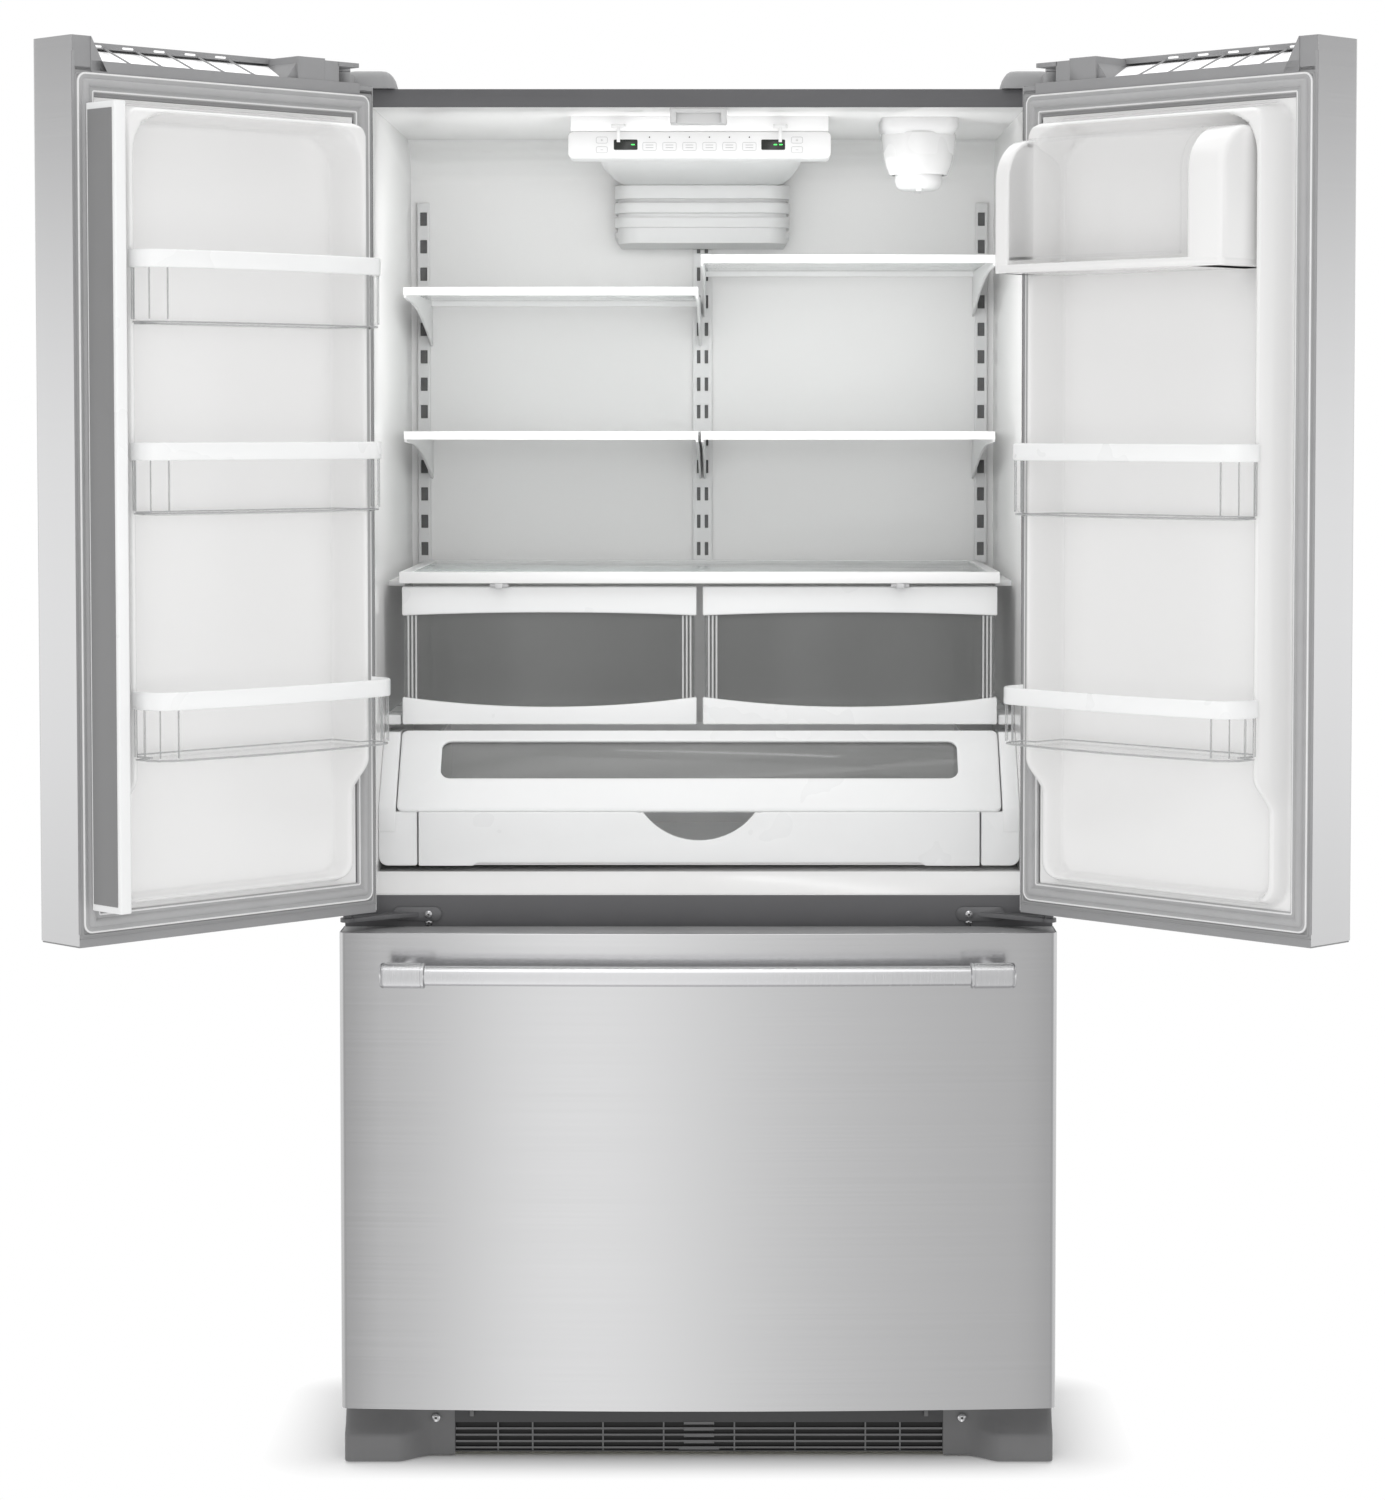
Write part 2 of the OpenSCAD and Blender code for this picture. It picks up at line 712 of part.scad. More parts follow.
// End caps and the inner frame that carries the gasket
module door_frame() {
    inset = skin_t + gap;
    rim_low = 1769;
    rib_u = [for (i = [1 : 5]) 125 + 275 * i / 6];
    difference() {
        union() {
            linear_extrude_at(door_bottom, core_bottom - door_bottom) door_plan(inset, door_v);
            linear_extrude_at(core_top, 4) door_plan(inset, door_v);
            difference() {
                slab([door_u0 + inset, door_u1 - inset], [door_v - door_frame_t, door_v],
                    [core_bottom, core_top]);
                slab([22, 414], [0, 90], [750, 1706]);
            }
            slab([hinge_step_u, 402], [door_v - 4, door_v], [core_top, cap_low_top]);
            for (step = [[door_u0, hinge_step_u, hinge_step_top], [44, hinge_step_u, 1773],
                [hinge_step_u, 108, door_top]])
                linear_extrude_at(core_top, step[2] - core_top) intersection() {
                    door_plan(inset, door_v);
                    translate([step[0], -80]) square([step[1] - step[0], 200]);
                }
            intersection() {
                slab([12, 46], [-12, door_v], [1767, 1773]);
                linear_extrude_at(core_top, door_top - core_top) door_plan(inset, door_v);
            }
            intersection() {
                linear_extrude_at(core_top, door_top - core_top) door_plan(inset, door_v);
                translate([0, door_v, 0]) rotate([90, 0, 0]) linear_extrude(120)
                    polygon([[392, core_top], [414, door_top], [450, door_top], [450, core_top]]);
            }
            linear_extrude_at(rim_low, door_top - rim_low) intersection() {
                door_plan(inset, door_v);
                translate([hinge_step_u, -80]) square([350, 68]);
            }
            for (u = rib_u) side_extrude([u - 1.5, u + 1.5])
                polygon([[door_v - 3, cap_low_top - 4], [door_v - 3, cap_low_top], [-13, rim_low + 2.5],
                    [-13, rim_low + 0.2]]);
            translate([0, 0, core_bottom]) cylinder(r = boss_r, h = 12);
            translate([0, 0, core_top - 14]) cylinder(r = boss_r, h = 15);
        }
        translate([0, 0, door_bottom - 1]) cylinder(r = pin_bore_r, h = 24);
        translate([0, 0, core_top - 10]) cylinder(r = pin_bore_r, h = 44);
    }
}

// Side view of the liner ridge: deep above, sweeping back to a shallow panel below
module ridge_profile() {
    steps = 12;
    polygon(concat([[0, ridge_z[0]], [ridge_low_v, ridge_z[0]]],
        [for (i = [0 : steps]) [ridge_low_v + (ridge_v - ridge_low_v) * (1 - cos(180 * i / steps)) / 2,
            curve_z[0] + (curve_z[1] - curve_z[0]) * i / steps]],
        [[ridge_v, ridge_z[1] - 14], [ridge_v - 14, ridge_z[1]], [0, ridge_z[1]]]));
}

module door_liner() {
    front_extrude([door_v - door_frame_t, door_v]) translate([22.2, 750.2]) square([391.6, 955.6]);
    intersection() {
        front_extrude([door_v - 1, ridge_v]) difference() {
            round_rect(ridge_u, ridge_z, 28);
            round_rect([ridge_u[0] + ridge_w, ridge_u[1] - ridge_w],
                [ridge_z[0] + 26, ridge_z[1] - ridge_top_h], 42);
        }
        side_extrude([0, 450]) ridge_profile();
    }
}

// Gasket: a flat foot with a raised sealing bead
module door_gasket() {
    for (layer = [[0, 24, 3.5], [5, 14, 6.5]]) front_extrude([door_v, door_v + layer[2]]) difference() {
        translate([-2 + layer[0], 730 + layer[0]])
            square([438 - 2 * layer[0], 1004 - 2 * layer[0]]);
        translate([-2 + layer[0] + layer[1], 730 + layer[0] + layer[1]])
            square([438 - 2 * (layer[0] + layer[1]), 1004 - 2 * (layer[0] + layer[1])]);
    }
}

// Round bar on two posts, a thicker ferrule at each end
module door_handle() {
    z = [800, 1640];
    translate([375, handle_v, 0]) {
        translate([0, 0, z[0]]) cylinder(r = handle_r, h = z[1] - z[0]);
        for (end = [z[0], z[1] - ferrule_l]) translate([0, 0, end]) cylinder(r = ferrule_r, h = ferrule_l);
        for (post = [z[0] + ferrule_l / 2, z[1] - ferrule_l / 2])
            translate([0, 0, post]) cylinder_y([0, -34.9 - handle_v], 10);
    }
}

// Plan of a door bin: narrow between the liner ridges, wide and bowed in front of them
module bin_plan(front, t) {
    translate([60.5 + t, 47 + t]) square([322 - 2 * t, 62 - 2 * t]);
    intersection() {
        round_rect([40 + t, 404 - t], [ridge_v + 1.5 + t - 38, front - t], 36);
        translate([40 + t, ridge_v + 1.5 + t]) square([364 - 2 * t, 90]);
        translate([222, front - bin_bow_r]) circle(bin_bow_r - t, $fn = 360);
    }
}

module door_bin(z, front) {
    difference() {
        linear_extrude_at(z[0], z[1] - z[0] - 1) bin_plan(front, 2);
        linear_extrude_at(z[0] + 3, z[1]) bin_plan(front, 4.5);
    }
    linear_extrude_at(z[1] - 21, 21) difference() {
        bin_plan(front, 0);
        bin_plan(front, 4.5);
    }
}

module door_left_skin() {
    color("silver") on_door_left() door_skin();
}

module door_left_core() {
    color("khaki") on_door_left() door_core();
}

module door_left_frame() {
    color("#9a9a9a") on_door_left() door_frame();
}

// Left liner, with the three knuckles that carry the mullion
module door_left_liner() {
    color("white") on_door_left() difference() {
        union() {
            door_liner();
            for (z = pivot_heights) {
                slab([ridge_u[1] - 1, 420], [59, 68.5], [z - 10, z + 10]);
                translate([mullion_pivot[0], mullion_pivot[1], z - 10]) cylinder(r = 5.5, h = 20);
            }
        }
        for (z = pivot_heights)
            translate([mullion_pivot[0], mullion_pivot[1], z - 11]) cylinder(r = 2.8, h = 22);
    }
}

module door_left_gasket() {
    color("#8e8e8e") on_door_left() door_gasket();
}

module door_left_handle() {
    color("silver") on_door_left() door_handle();
}

module door_left_bins() {
    color("#eef4f6") on_door_left() {
        door_bin([1442, 1528], 150);
        door_bin([1220, 1305], 150);
        door_bin([934, 1016], 165);
    }
}

// Bar that folds against the left door's edge and bridges the gap between the closed doors
module mullion() {
    bar_u = [415, 433];
    bar_v = [58, 114.5];
    color("white") on_door_left() {
        difference() {
            linear_extrude_at(mullion_z[0], mullion_z[1] - mullion_z[0]) round_rect(bar_u, bar_v, 3);
            for (z = pivot_heights)
                translate([mullion_pivot[0], mullion_pivot[1], z - 12]) cylinder(r = 14, h = 24);
        }
        for (z = pivot_heights)
            translate([mullion_pivot[0], mullion_pivot[1], z - 13]) cylinder(r = 2.5, h = 26);
    }
}

module door_right_skin() {
    color("silver") on_door_right() door_skin();
}

module door_right_core() {
    color("khaki") on_door_right() door_core();
}

module door_right_frame() {
    color("#9a9a9a") on_door_right() door_frame();
}

// Outline of a side wall of the dairy compartment, in depth and height
module dairy_wall(front, r) {
    square_top = 1678;
    translate([door_v - 1, 1509]) square([ridge_v - door_v + 1, square_top - 1509]);
    translate([door_v - 1, 1509]) square([front - door_v + 1, arch_z - 1509]);
    translate([ridge_v, arch_z]) circle(r);
}

// Right liner, with the floor and both side walls of the dairy compartment
module door_right_liner() {
    color("white") on_door_right() difference() {
        union() {
            door_liner();
            for (wall = [[36, 58], [330, 385]]) side_extrude(wall) dairy_wall(150, 53);
            slab([57, 331], [door_v - 1, 150], [1509, 1520]);
        }
        translate([0, butter_pivot[0], butter_pivot[1]]) cylinder_x([53, 59], 2.8);
        translate([0, butter_pivot[0], butter_pivot[1]]) cylinder_x([329, 335], 2.8);
    }
}

module door_right_gasket() {
    color("#8e8e8e") on_door_right() door_gasket();
}

module door_right_handle() {
    color("silver") on_door_right() door_handle();
}

module door_right_bins() {
    color("#eef4f6") on_door_right() {
        door_bin([1214, 1303], 150);
        door_bin([934, 1006], 165);
    }
}

// Arched clear cover of the dairy compartment, hinged near its upper edge
module butter_cover() {
    color("#e4eef2", 0.6) on_door_right() {
        difference() {
            side_extrude([62.5, 327]) intersection() {
                union() {
                    translate([110, 1524]) square([43, arch_z - 1524]);
                    translate([ridge_v, arch_z]) circle(56);
                }
                translate([110, 1524]) square([60, 200]);
            }
            side_extrude([65, 324.5]) intersection() {
                union() {
                    translate([90, 1500]) square([60.5, arch_z - 1500]);
                    translate([ridge_v, arch_z]) circle(53.5);
                }
                translate([90, 1500]) square([80, 200]);
            }
        }
        translate([0, butter_pivot[0], butter_pivot[1]]) cylinder_x([54, 65], 2.5);
        translate([0, butter_pivot[0], butter_pivot[1]]) cylinder_x([324.5, 333], 2.5);
    }
}

// ---- freezer drawer ----

// Plan of the freezer front inside its skin
module freezer_plan(inset, back) {
    intersection() {
        translate([-half_w + inset, -100]) square([cabinet_w - 2 * inset, 100 + back]);
        translate([0, bulge_y]) circle(bulge_r - inset, $fn = 720);
    }
}

module freezer_skin() {
    color("silver") in_part_frame()
        linear_extrude_at(freezer_front_bottom, freezer_front_top - freezer_front_bottom) difference() {
            freezer_plan(0, -12);
            freezer_plan(skin_t, -11);
        }
}

// Foam filling of the drawer front
module freezer_core() {
    color("whitesmoke") in_part_frame()
        linear_extrude_at(freezer_front_bottom + 1, freezer_front_top - freezer_front_bottom - 2)
            freezer_plan(skin_t + gap, -12);
}

module freezer_gasket() {
    color("#8e8e8e") in_part_frame() for (layer = [[0, 24, 4], [5, 14, 8]])
        front_extrude([-12, -12 + layer[2]]) difference() {
            translate([-440 + layer[0], 90 + layer[0]]) square([880 - 2 * layer[0], 588 - 2 * layer[0]]);
            translate([-440 + layer[0] + layer[1], 90 + layer[0] + layer[1]])
                square([880 - 2 * (layer[0] + layer[1]), 588 - 2 * (layer[0] + layer[1])]);
        }
}

// Bar that follows the bulge of the front, on two posts
module freezer_handle() {
    stand_off = 50;
    half_l = 396;
    bar_r = bulge_r + stand_off;
    half_angle = asin(half_l / bar_r);
    ferrule_x = half_l - ferrule_l / 2;
    ferrule_y = bulge_y - sqrt(bar_r * bar_r - ferrule_x * ferrule_x);
    skin_y = bulge_y - sqrt(bulge_r * bulge_r - ferrule_x * ferrule_x);
    tilt = asin(ferrule_x / bar_r);
    color("silver") in_part_frame() translate([0, 0, freezer_handle_z]) {
        translate([0, bulge_y, 0]) rotate([0, 0, -90 - half_angle])
            rotate_extrude(angle = 2 * half_angle, $fn = 1440)
                translate([bar_r, 0]) circle(handle_r, $fn = 48);
        both_sides() translate([ferrule_x, ferrule_y, 0]) {
            rotate([0, 0, tilt]) cylinder_x([-ferrule_l / 2, ferrule_l / 2], ferrule_r);
            cylinder_y([0, skin_y - ferrule_y - 0.8], 10);
        }
    }
}

// Deep basket that hangs on the drawer's moving rails
module freezer_basket() {
    color("white") in_part_frame() {
        difference() {
            slab([-388, 388], [16, 436], [112, 380]);
            slab([-385, 385], [19, 433], [115, 381]);
        }
        both_sides() slab([388, 401], [-11.8, 436], [262, 278]);
        both_sides() slab([340, 350], [-11.8, 16], [140, 370]);
    }
}

// Shallow basket that runs on ledges above the deep one
module upper_basket() {
    color("white") in_part_frame() {
        difference() {
            slab([-386, 386], [18, 466], [470, 600]);
            slab([-383, 383], [21, 463], [473, 601]);
        }
        both_sides() slab([386, 404], [18, 466], [596, 600]);
    }
}

// Fixed rails of both baskets
module freezer_slides() {
    color("#8a8d90") in_part_frame() both_sides() {
        slab([404, inner_half_w - 0.2], [8, 440], [256, 284]);
        slab([394, inner_half_w - 0.2], [8, 470], [586, 595.6]);
    }
}

outer_case();
insulation();
fridge_liner();
freezer_liner();
rear_panels();
base_frame();
compressor();
condenser();
evaporator();
evaporator_cover();
toe_grille();
foot_covers();
hinge_brackets();
hinge_covers();
control_housing();
control_panel();
light_lens();
filter_housing();
shelf_ladders();
shelf_frames();
glass_panes();
drawer_runners();
freezer_slides();
condenser_fan();
evaporator_fan();
front_rollers();
rear_rollers();
levelling_foot_left();
levelling_foot_right();
light_switch_left();
light_switch_right();
water_filter();
humidity_slider_left();
humidity_slider_right();
crisper_left();
crisper_right();
deli_drawer();
deli_visor();
door_left_skin();
door_left_core();
door_left_frame();
door_left_liner();
door_left_gasket();
door_left_handle();
door_left_bins();
mullion();
door_right_skin();
door_right_core();
door_right_frame();
door_right_liner();
door_right_gasket();
door_right_handle();
door_right_bins();
butter_cover();
freezer_skin();
freezer_core();
freezer_gasket();
freezer_handle();
freezer_basket();
upper_basket();
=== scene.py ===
import json
import math

import bmesh
import bpy
from mathutils import Matrix, Vector


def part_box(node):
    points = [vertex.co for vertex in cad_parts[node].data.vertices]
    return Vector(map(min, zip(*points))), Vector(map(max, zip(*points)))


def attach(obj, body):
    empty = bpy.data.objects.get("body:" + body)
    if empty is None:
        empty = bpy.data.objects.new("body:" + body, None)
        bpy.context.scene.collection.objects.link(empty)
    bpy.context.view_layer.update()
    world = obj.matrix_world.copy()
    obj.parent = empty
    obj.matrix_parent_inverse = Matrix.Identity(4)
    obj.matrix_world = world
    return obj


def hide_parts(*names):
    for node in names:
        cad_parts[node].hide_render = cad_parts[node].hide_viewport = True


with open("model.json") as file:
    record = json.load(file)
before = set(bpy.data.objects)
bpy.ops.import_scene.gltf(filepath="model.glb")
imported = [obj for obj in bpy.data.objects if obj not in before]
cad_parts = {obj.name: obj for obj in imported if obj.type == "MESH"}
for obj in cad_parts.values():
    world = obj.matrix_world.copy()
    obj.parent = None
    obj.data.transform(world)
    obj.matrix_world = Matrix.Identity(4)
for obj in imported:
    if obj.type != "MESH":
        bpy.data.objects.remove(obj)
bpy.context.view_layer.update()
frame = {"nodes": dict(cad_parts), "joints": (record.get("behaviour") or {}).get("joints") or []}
NODES = frame["nodes"]
JOINTS = {joint["name"]: joint for joint in frame["joints"]}

# ---------------------------------------------------------------- frames of reference

MM = 0.001
FRONT_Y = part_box("outer_case")[0].y
SCALE = Matrix.Diagonal((MM, MM, MM, 1.0))
CABINET = Matrix.Translation((0.0, FRONT_Y, 0.0)) @ SCALE

hinge = JOINTS["door_left_hinge"]
DOOR_ANGLE = math.radians(abs(hinge["range_deg"][0]))
PIN = Vector((hinge["pos_m"][0], hinge["pos_m"][1], 0.0))
DOOR_LEFT = Matrix.Translation(PIN) @ Matrix.Rotation(-DOOR_ANGLE, 4, "Z") @ SCALE
DOOR_RIGHT = Matrix.Diagonal((-1.0, 1.0, 1.0, 1.0)) @ DOOR_LEFT
DOORS = {"left": DOOR_LEFT, "right": DOOR_RIGHT}


def box_mm(node):
    """Lowest and highest corner of a cabinet node, in the cabinet's millimetres."""
    low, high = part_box(node)
    back = CABINET.inverted()
    return back @ low, back @ high


# ---------------------------------------------------------------- materials

def node_of(tree, kind, place, **values):
    made = tree.nodes.new(kind)
    made.location = place
    for key, value in values.items():
        if key in made.inputs:
            made.inputs[key].default_value = value
        else:
            setattr(made, key, value)
    return made


def grain_of(tree, scale, detail, name, distortion=0.0):
    """Noise in the piece's own coordinates, stretched by a scale for each axis."""
    coords = node_of(tree, "ShaderNodeTexCoord", (-1100, 0))
    mapping = node_of(tree, "ShaderNodeMapping", (-900, 0))
    mapping.inputs["Scale"].default_value = scale
    noise = node_of(tree, "ShaderNodeTexNoise", (-700, 0))
    noise.name = name
    noise.inputs["Scale"].default_value = 1.0
    noise.inputs["Detail"].default_value = detail
    noise.inputs["Roughness"].default_value = 0.6
    noise.inputs["Distortion"].default_value = distortion
    tree.links.new(coords.outputs["Object"], mapping.inputs["Vector"])
    tree.links.new(mapping.outputs["Vector"], noise.inputs["Vector"])
    return noise.outputs["Fac"]


def spread(tree, source, low, high, start=0.3, end=0.7):
    """Maps noise to a range of values."""
    ranged = node_of(tree, "ShaderNodeMapRange", (-450, -200))
    for key, value in (("From Min", start), ("From Max", end), ("To Min", low), ("To Max", high)):
        ranged.inputs[key].default_value = value
    tree.links.new(source, ranged.inputs["Value"])
    return ranged.outputs["Result"]


def shade(tree, source, colour, tint):
    """Blends a colour from a little darker to a little lighter as noise varies."""
    ramp = node_of(tree, "ShaderNodeValToRGB", (-450, 200))
    dark, light = ramp.color_ramp.elements
    dark.position, light.position = 0.3, 0.7
    dark.color = (*[c * (1.0 - tint) for c in colour], 1.0)
    light.color = (*[min(1.0, c * (1.0 + tint)) for c in colour], 1.0)
    tree.links.new(source, ramp.inputs["Fac"])
    return ramp.outputs["Color"]


def finish(name, colour, rough, metal=0.0, tint=0.03, grain=(30, 30, 30), detail=4.0, bump=0.1,
           bump_depth=0.0003, fine=(400, 400, 400), rough_spread=0.05, coat=0.0, glow=0.0):
    """An opaque finish: colour, roughness and relief all follow procedural noise."""
    mat = bpy.data.materials.new(name)
    mat.use_nodes = True
    tree = mat.node_tree
    shader = tree.nodes["Principled BSDF"]
    coarse = grain_of(tree, grain, detail, "coarse")
    small = grain_of(tree, fine, 3.0, "fine")
    tree.links.new(shade(tree, coarse, colour, tint), shader.inputs["Base Color"])
    tree.links.new(spread(tree, coarse, rough - rough_spread, rough + rough_spread), shader.inputs["Roughness"])
    relief = node_of(tree, "ShaderNodeBump", (-250, -400))
    relief.inputs["Strength"].default_value = bump
    relief.inputs["Distance"].default_value = bump_depth
    tree.links.new(small, relief.inputs["Height"])
    tree.links.new(relief.outputs["Normal"], shader.inputs["Normal"])
    shader.inputs["Metallic"].default_value = metal
    shader.inputs["Coat Weight"].default_value = coat
    shader.inputs["Coat Roughness"].default_value = 0.08
    if glow:
        shader.inputs["Emission Color"].default_value = (*colour, 1.0)
        shader.inputs["Emission Strength"].default_value = glow
    return mat


def clear(name, colour, face, edge, rough=0.05, tint=0.04, rim=None, glow=0.0, start=0.0):
    """A thin clear plastic or glass: thin seen square on, denser and darker towards its edges."""
    mat = bpy.data.materials.new(name)
    mat.use_nodes = True
    tree = mat.node_tree
    shader = tree.nodes["Principled BSDF"]
    coarse = grain_of(tree, (9, 9, 9), 2.0, "coarse")
    weight = node_of(tree, "ShaderNodeLayerWeight", (-700, -300))
    weight.inputs["Blend"].default_value = 0.35
    edges = node_of(tree, "ShaderNodeMix", (-200, 200), data_type="RGBA")
    tree.links.new(spread(tree, weight.outputs["Facing"], 0.0, 1.0, start, 1.0), edges.inputs[0])
    tree.links.new(shade(tree, coarse, colour, tint), edges.inputs[6])
    edges.inputs[7].default_value = (*(rim or colour), 1.0)
    tree.links.new(edges.outputs[2], shader.inputs["Base Color"])
    tree.links.new(spread(tree, coarse, rough * 0.6, rough * 1.4), shader.inputs["Roughness"])
    tree.links.new(spread(tree, weight.outputs["Facing"], face, edge, start, 1.0), shader.inputs["Alpha"])
    shader.inputs["IOR"].default_value = 1.5
    shader.inputs["Coat Weight"].default_value = 0.6
    shader.inputs["Coat Roughness"].default_value = 0.03
    if glow:
        shader.inputs["Emission Color"].default_value = (*colour, 1.0)
        shader.inputs["Emission Strength"].default_value = glow
    return mat


def grey(value):
    return (value, value, value)


STEEL_GRAIN = (1.5, 1.5, 420)
MATERIALS = {
    "stainless": finish("stainless_brushed", (0.58, 0.58, 0.585), 0.19, 1.0, 0.012, STEEL_GRAIN, 5.0,
                        0.015, 0.0002, (3, 3, 1500), 0.02),
    "handle_steel": finish("handle_satin_steel", (0.66, 0.66, 0.67), 0.24, 1.0, 0.03, (900, 40, 40), 4.0,
                           0.06, 0.0002, (1500, 60, 60), 0.04),
    "case_grey": finish("painted_case", (0.115, 0.115, 0.12), 0.42, 0.0, 0.05, (12, 12, 12), 4.0,
                        0.25, 0.0004, (700, 700, 700), 0.06),
    "foam": finish("foam", (0.80, 0.76, 0.60), 0.9, 0.0, 0.08, (60, 60, 60), 5.0, 0.5, 0.001),
    "liner_white": finish("liner_white", (0.835, 0.832, 0.828), 0.16, 0.0, 0.006, (2.5, 2.5, 2.5), 2.0,
                          0.04, 0.0003, (160, 160, 160), 0.03, 0.3),
    "sheet_steel": finish("galvanised", (0.42, 0.43, 0.44), 0.42, 0.9, 0.12, (45, 45, 45), 2.0,
                          0.05, 0.0002, (200, 200, 200), 0.1),
    "machine_black": finish("machine_black", (0.02, 0.02, 0.022), 0.4, 0.0, 0.2, (40, 40, 40)),
    "fin_aluminium": finish("fin_aluminium", (0.72, 0.74, 0.76), 0.38, 1.0, 0.05, (80, 80, 10)),
    "grille_grey": finish("grille_grey", (0.062, 0.062, 0.064), 0.5, 0.0, 0.08, (20, 20, 20), 4.0,
                          0.3, 0.0004, (900, 900, 900)),
    "foot_grey": finish("foot_grey", (0.17, 0.17, 0.172), 0.52, 0.0, 0.05, (20, 20, 20), 4.0,
                        0.35, 0.0004, (900, 900, 900)),
    "bracket_steel": finish("bracket_grey", (0.16, 0.16, 0.165), 0.4, 0.4, 0.07, (40, 40, 40)),
    "cover_grey": finish("cover_grey", (0.33, 0.33, 0.335), 0.5, 0.0, 0.04, (25, 25, 25), 4.0,
                         0.3, 0.0004, (900, 900, 900)),
    "white_plastic": finish("white_plastic", (0.853, 0.852, 0.85), 0.34, 0.0, 0.015, (8, 8, 8), 3.0,
                            0.08, 0.0002, (500, 500, 500), 0.05, 0.1),
    "panel_white": finish("panel_white", (0.66, 0.66, 0.66), 0.4, 0.0, 0.015, (10, 10, 10), 3.0,
                          0.08, 0.0002, (600, 600, 600), 0.05),
    "ladder_grey": finish("ladder_paint", (0.76, 0.76, 0.76), 0.35, 0.0, 0.03, (20, 20, 20)),
    "rail_steel": finish("rail_steel", (0.55, 0.56, 0.57), 0.32, 1.0, 0.05, (20, 400, 400)),
    "roller_black": finish("roller_black", (0.035, 0.035, 0.036), 0.55, 0.0, 0.1, (80, 80, 80)),
    "foot_steel": finish("foot_zinc", (0.5, 0.5, 0.51), 0.35, 1.0, 0.06, (60, 60, 400)),
    "knob_grey": finish("knob_grey", (0.56, 0.56, 0.565), 0.4, 0.0, 0.03, (60, 60, 60)),
    "frame_grey": finish("door_frame_grey", (0.30, 0.30, 0.303), 0.44, 0.0, 0.04, (12, 12, 12), 4.0,
                         0.2, 0.0003, (700, 700, 700)),
    "gasket_grey": finish("gasket", (0.42, 0.42, 0.424), 0.5, 0.0, 0.03, (25, 25, 25), 4.0,
                          0.15, 0.0003, (500, 500, 500)),
    "clear_plastic": clear("clear_plastic", (0.86, 0.865, 0.87), 0.02, 0.42, rim=(0.40, 0.41, 0.415), start=0.55),
    "shelf_glass": clear("shelf_glass", (0.84, 0.90, 0.89), 0.12, 0.6),
}
SMOKY = clear("smoky_window", (0.30, 0.305, 0.30), 0.34, 0.85, 0.08)
LENS = clear("lamp_lens", (0.90, 0.90, 0.90), 0.80, 0.97, 0.22, glow=0.05)
FITTING_WHITE = finish("fitting_white", (0.70, 0.70, 0.70), 0.36, 0.0, 0.015, (8, 8, 8), 3.0,
                       0.08, 0.0002, (500, 500, 500), 0.05, 0.1)
CLEAR_EDGE_PAINTED_SHADE = clear("clear_edge_shade_paint", (0.50, 0.51, 0.51), 0.42, 0.70, 0.12)
# Light grey of the rods along the gasket's ridges: painted highlights.
PAINTED_SEAL_HIGHLIGHT = finish("seal_highlight_paint", (0.80, 0.80, 0.80), 0.45, 0.0, 0.02, (25, 25, 25), 4.0, 0.1)
# Frosted white of the filter cup, also used on the crisper ribs as painted highlight lines.
FROSTED_AND_PAINTED_HIGHLIGHT = clear("frosted_white_and_highlight_paint", (0.87, 0.87, 0.87), 0.62, 0.95, 0.25)
RIM_WHITE = finish("rim_white", (0.88, 0.885, 0.885), 0.3, 0.0, 0.012, (8, 8, 8), 3.0,
                   0.06, 0.0002, (500, 500, 500), 0.05, 0.15)
PLATE_GREY = finish("mullion_plate", (0.235, 0.235, 0.237), 0.45, 0.0, 0.03, (15, 15, 15), 4.0,
                    0.2, 0.0003, (800, 800, 800))
CAP_GREY = finish("cap_grey", (0.30, 0.30, 0.305), 0.48, 0.0, 0.04, (14, 14, 14), 4.0,
                  0.25, 0.0003, (800, 800, 800))
DISPLAY_BLACK = finish("display_black", (0.008, 0.010, 0.008), 0.12, 0.0, 0.2, (80, 80, 80), coat=0.5)
DIGIT_GREEN = finish("digit_green", (0.05, 0.9, 0.10), 0.4, 0.0, 0.05, (300, 300, 300), glow=2.2)
LINE_GREY = finish("print_grey", (0.34, 0.345, 0.35), 0.5, 0.0, 0.05, (60, 60, 60))
DARK_LED_AND_SOCKET_SHADE = finish("led_dark_and_socket_shade_paint", (0.05, 0.05, 0.05), 0.25, 0.0, 0.2, (200, 200, 200))
# White with a faint glow: painted light on the tray inside the door's top cap.
TRAY_PAINTED_GLOW = finish("tray_white_painted_glow", (0.93, 0.93, 0.93), 0.5, 0.0, 0.004, (6, 6, 6), glow=0.25)
# Painted shade for the backs of the ladders' slots.
SLOT_PAINTED_SHADE = finish("slot_shade_paint", (0.13, 0.13, 0.13), 0.5, 0.0, 0.15, (60, 60, 60))
VENT_DARK = finish("vent_dark", (0.012, 0.012, 0.012), 0.6, 0.0, 0.2, (60, 60, 60))
SCREW_STEEL = finish("screw_steel", (0.74, 0.74, 0.75), 0.25, 1.0, 0.05, (300, 300, 300))

# ---------------------------------------------------------------- outlines

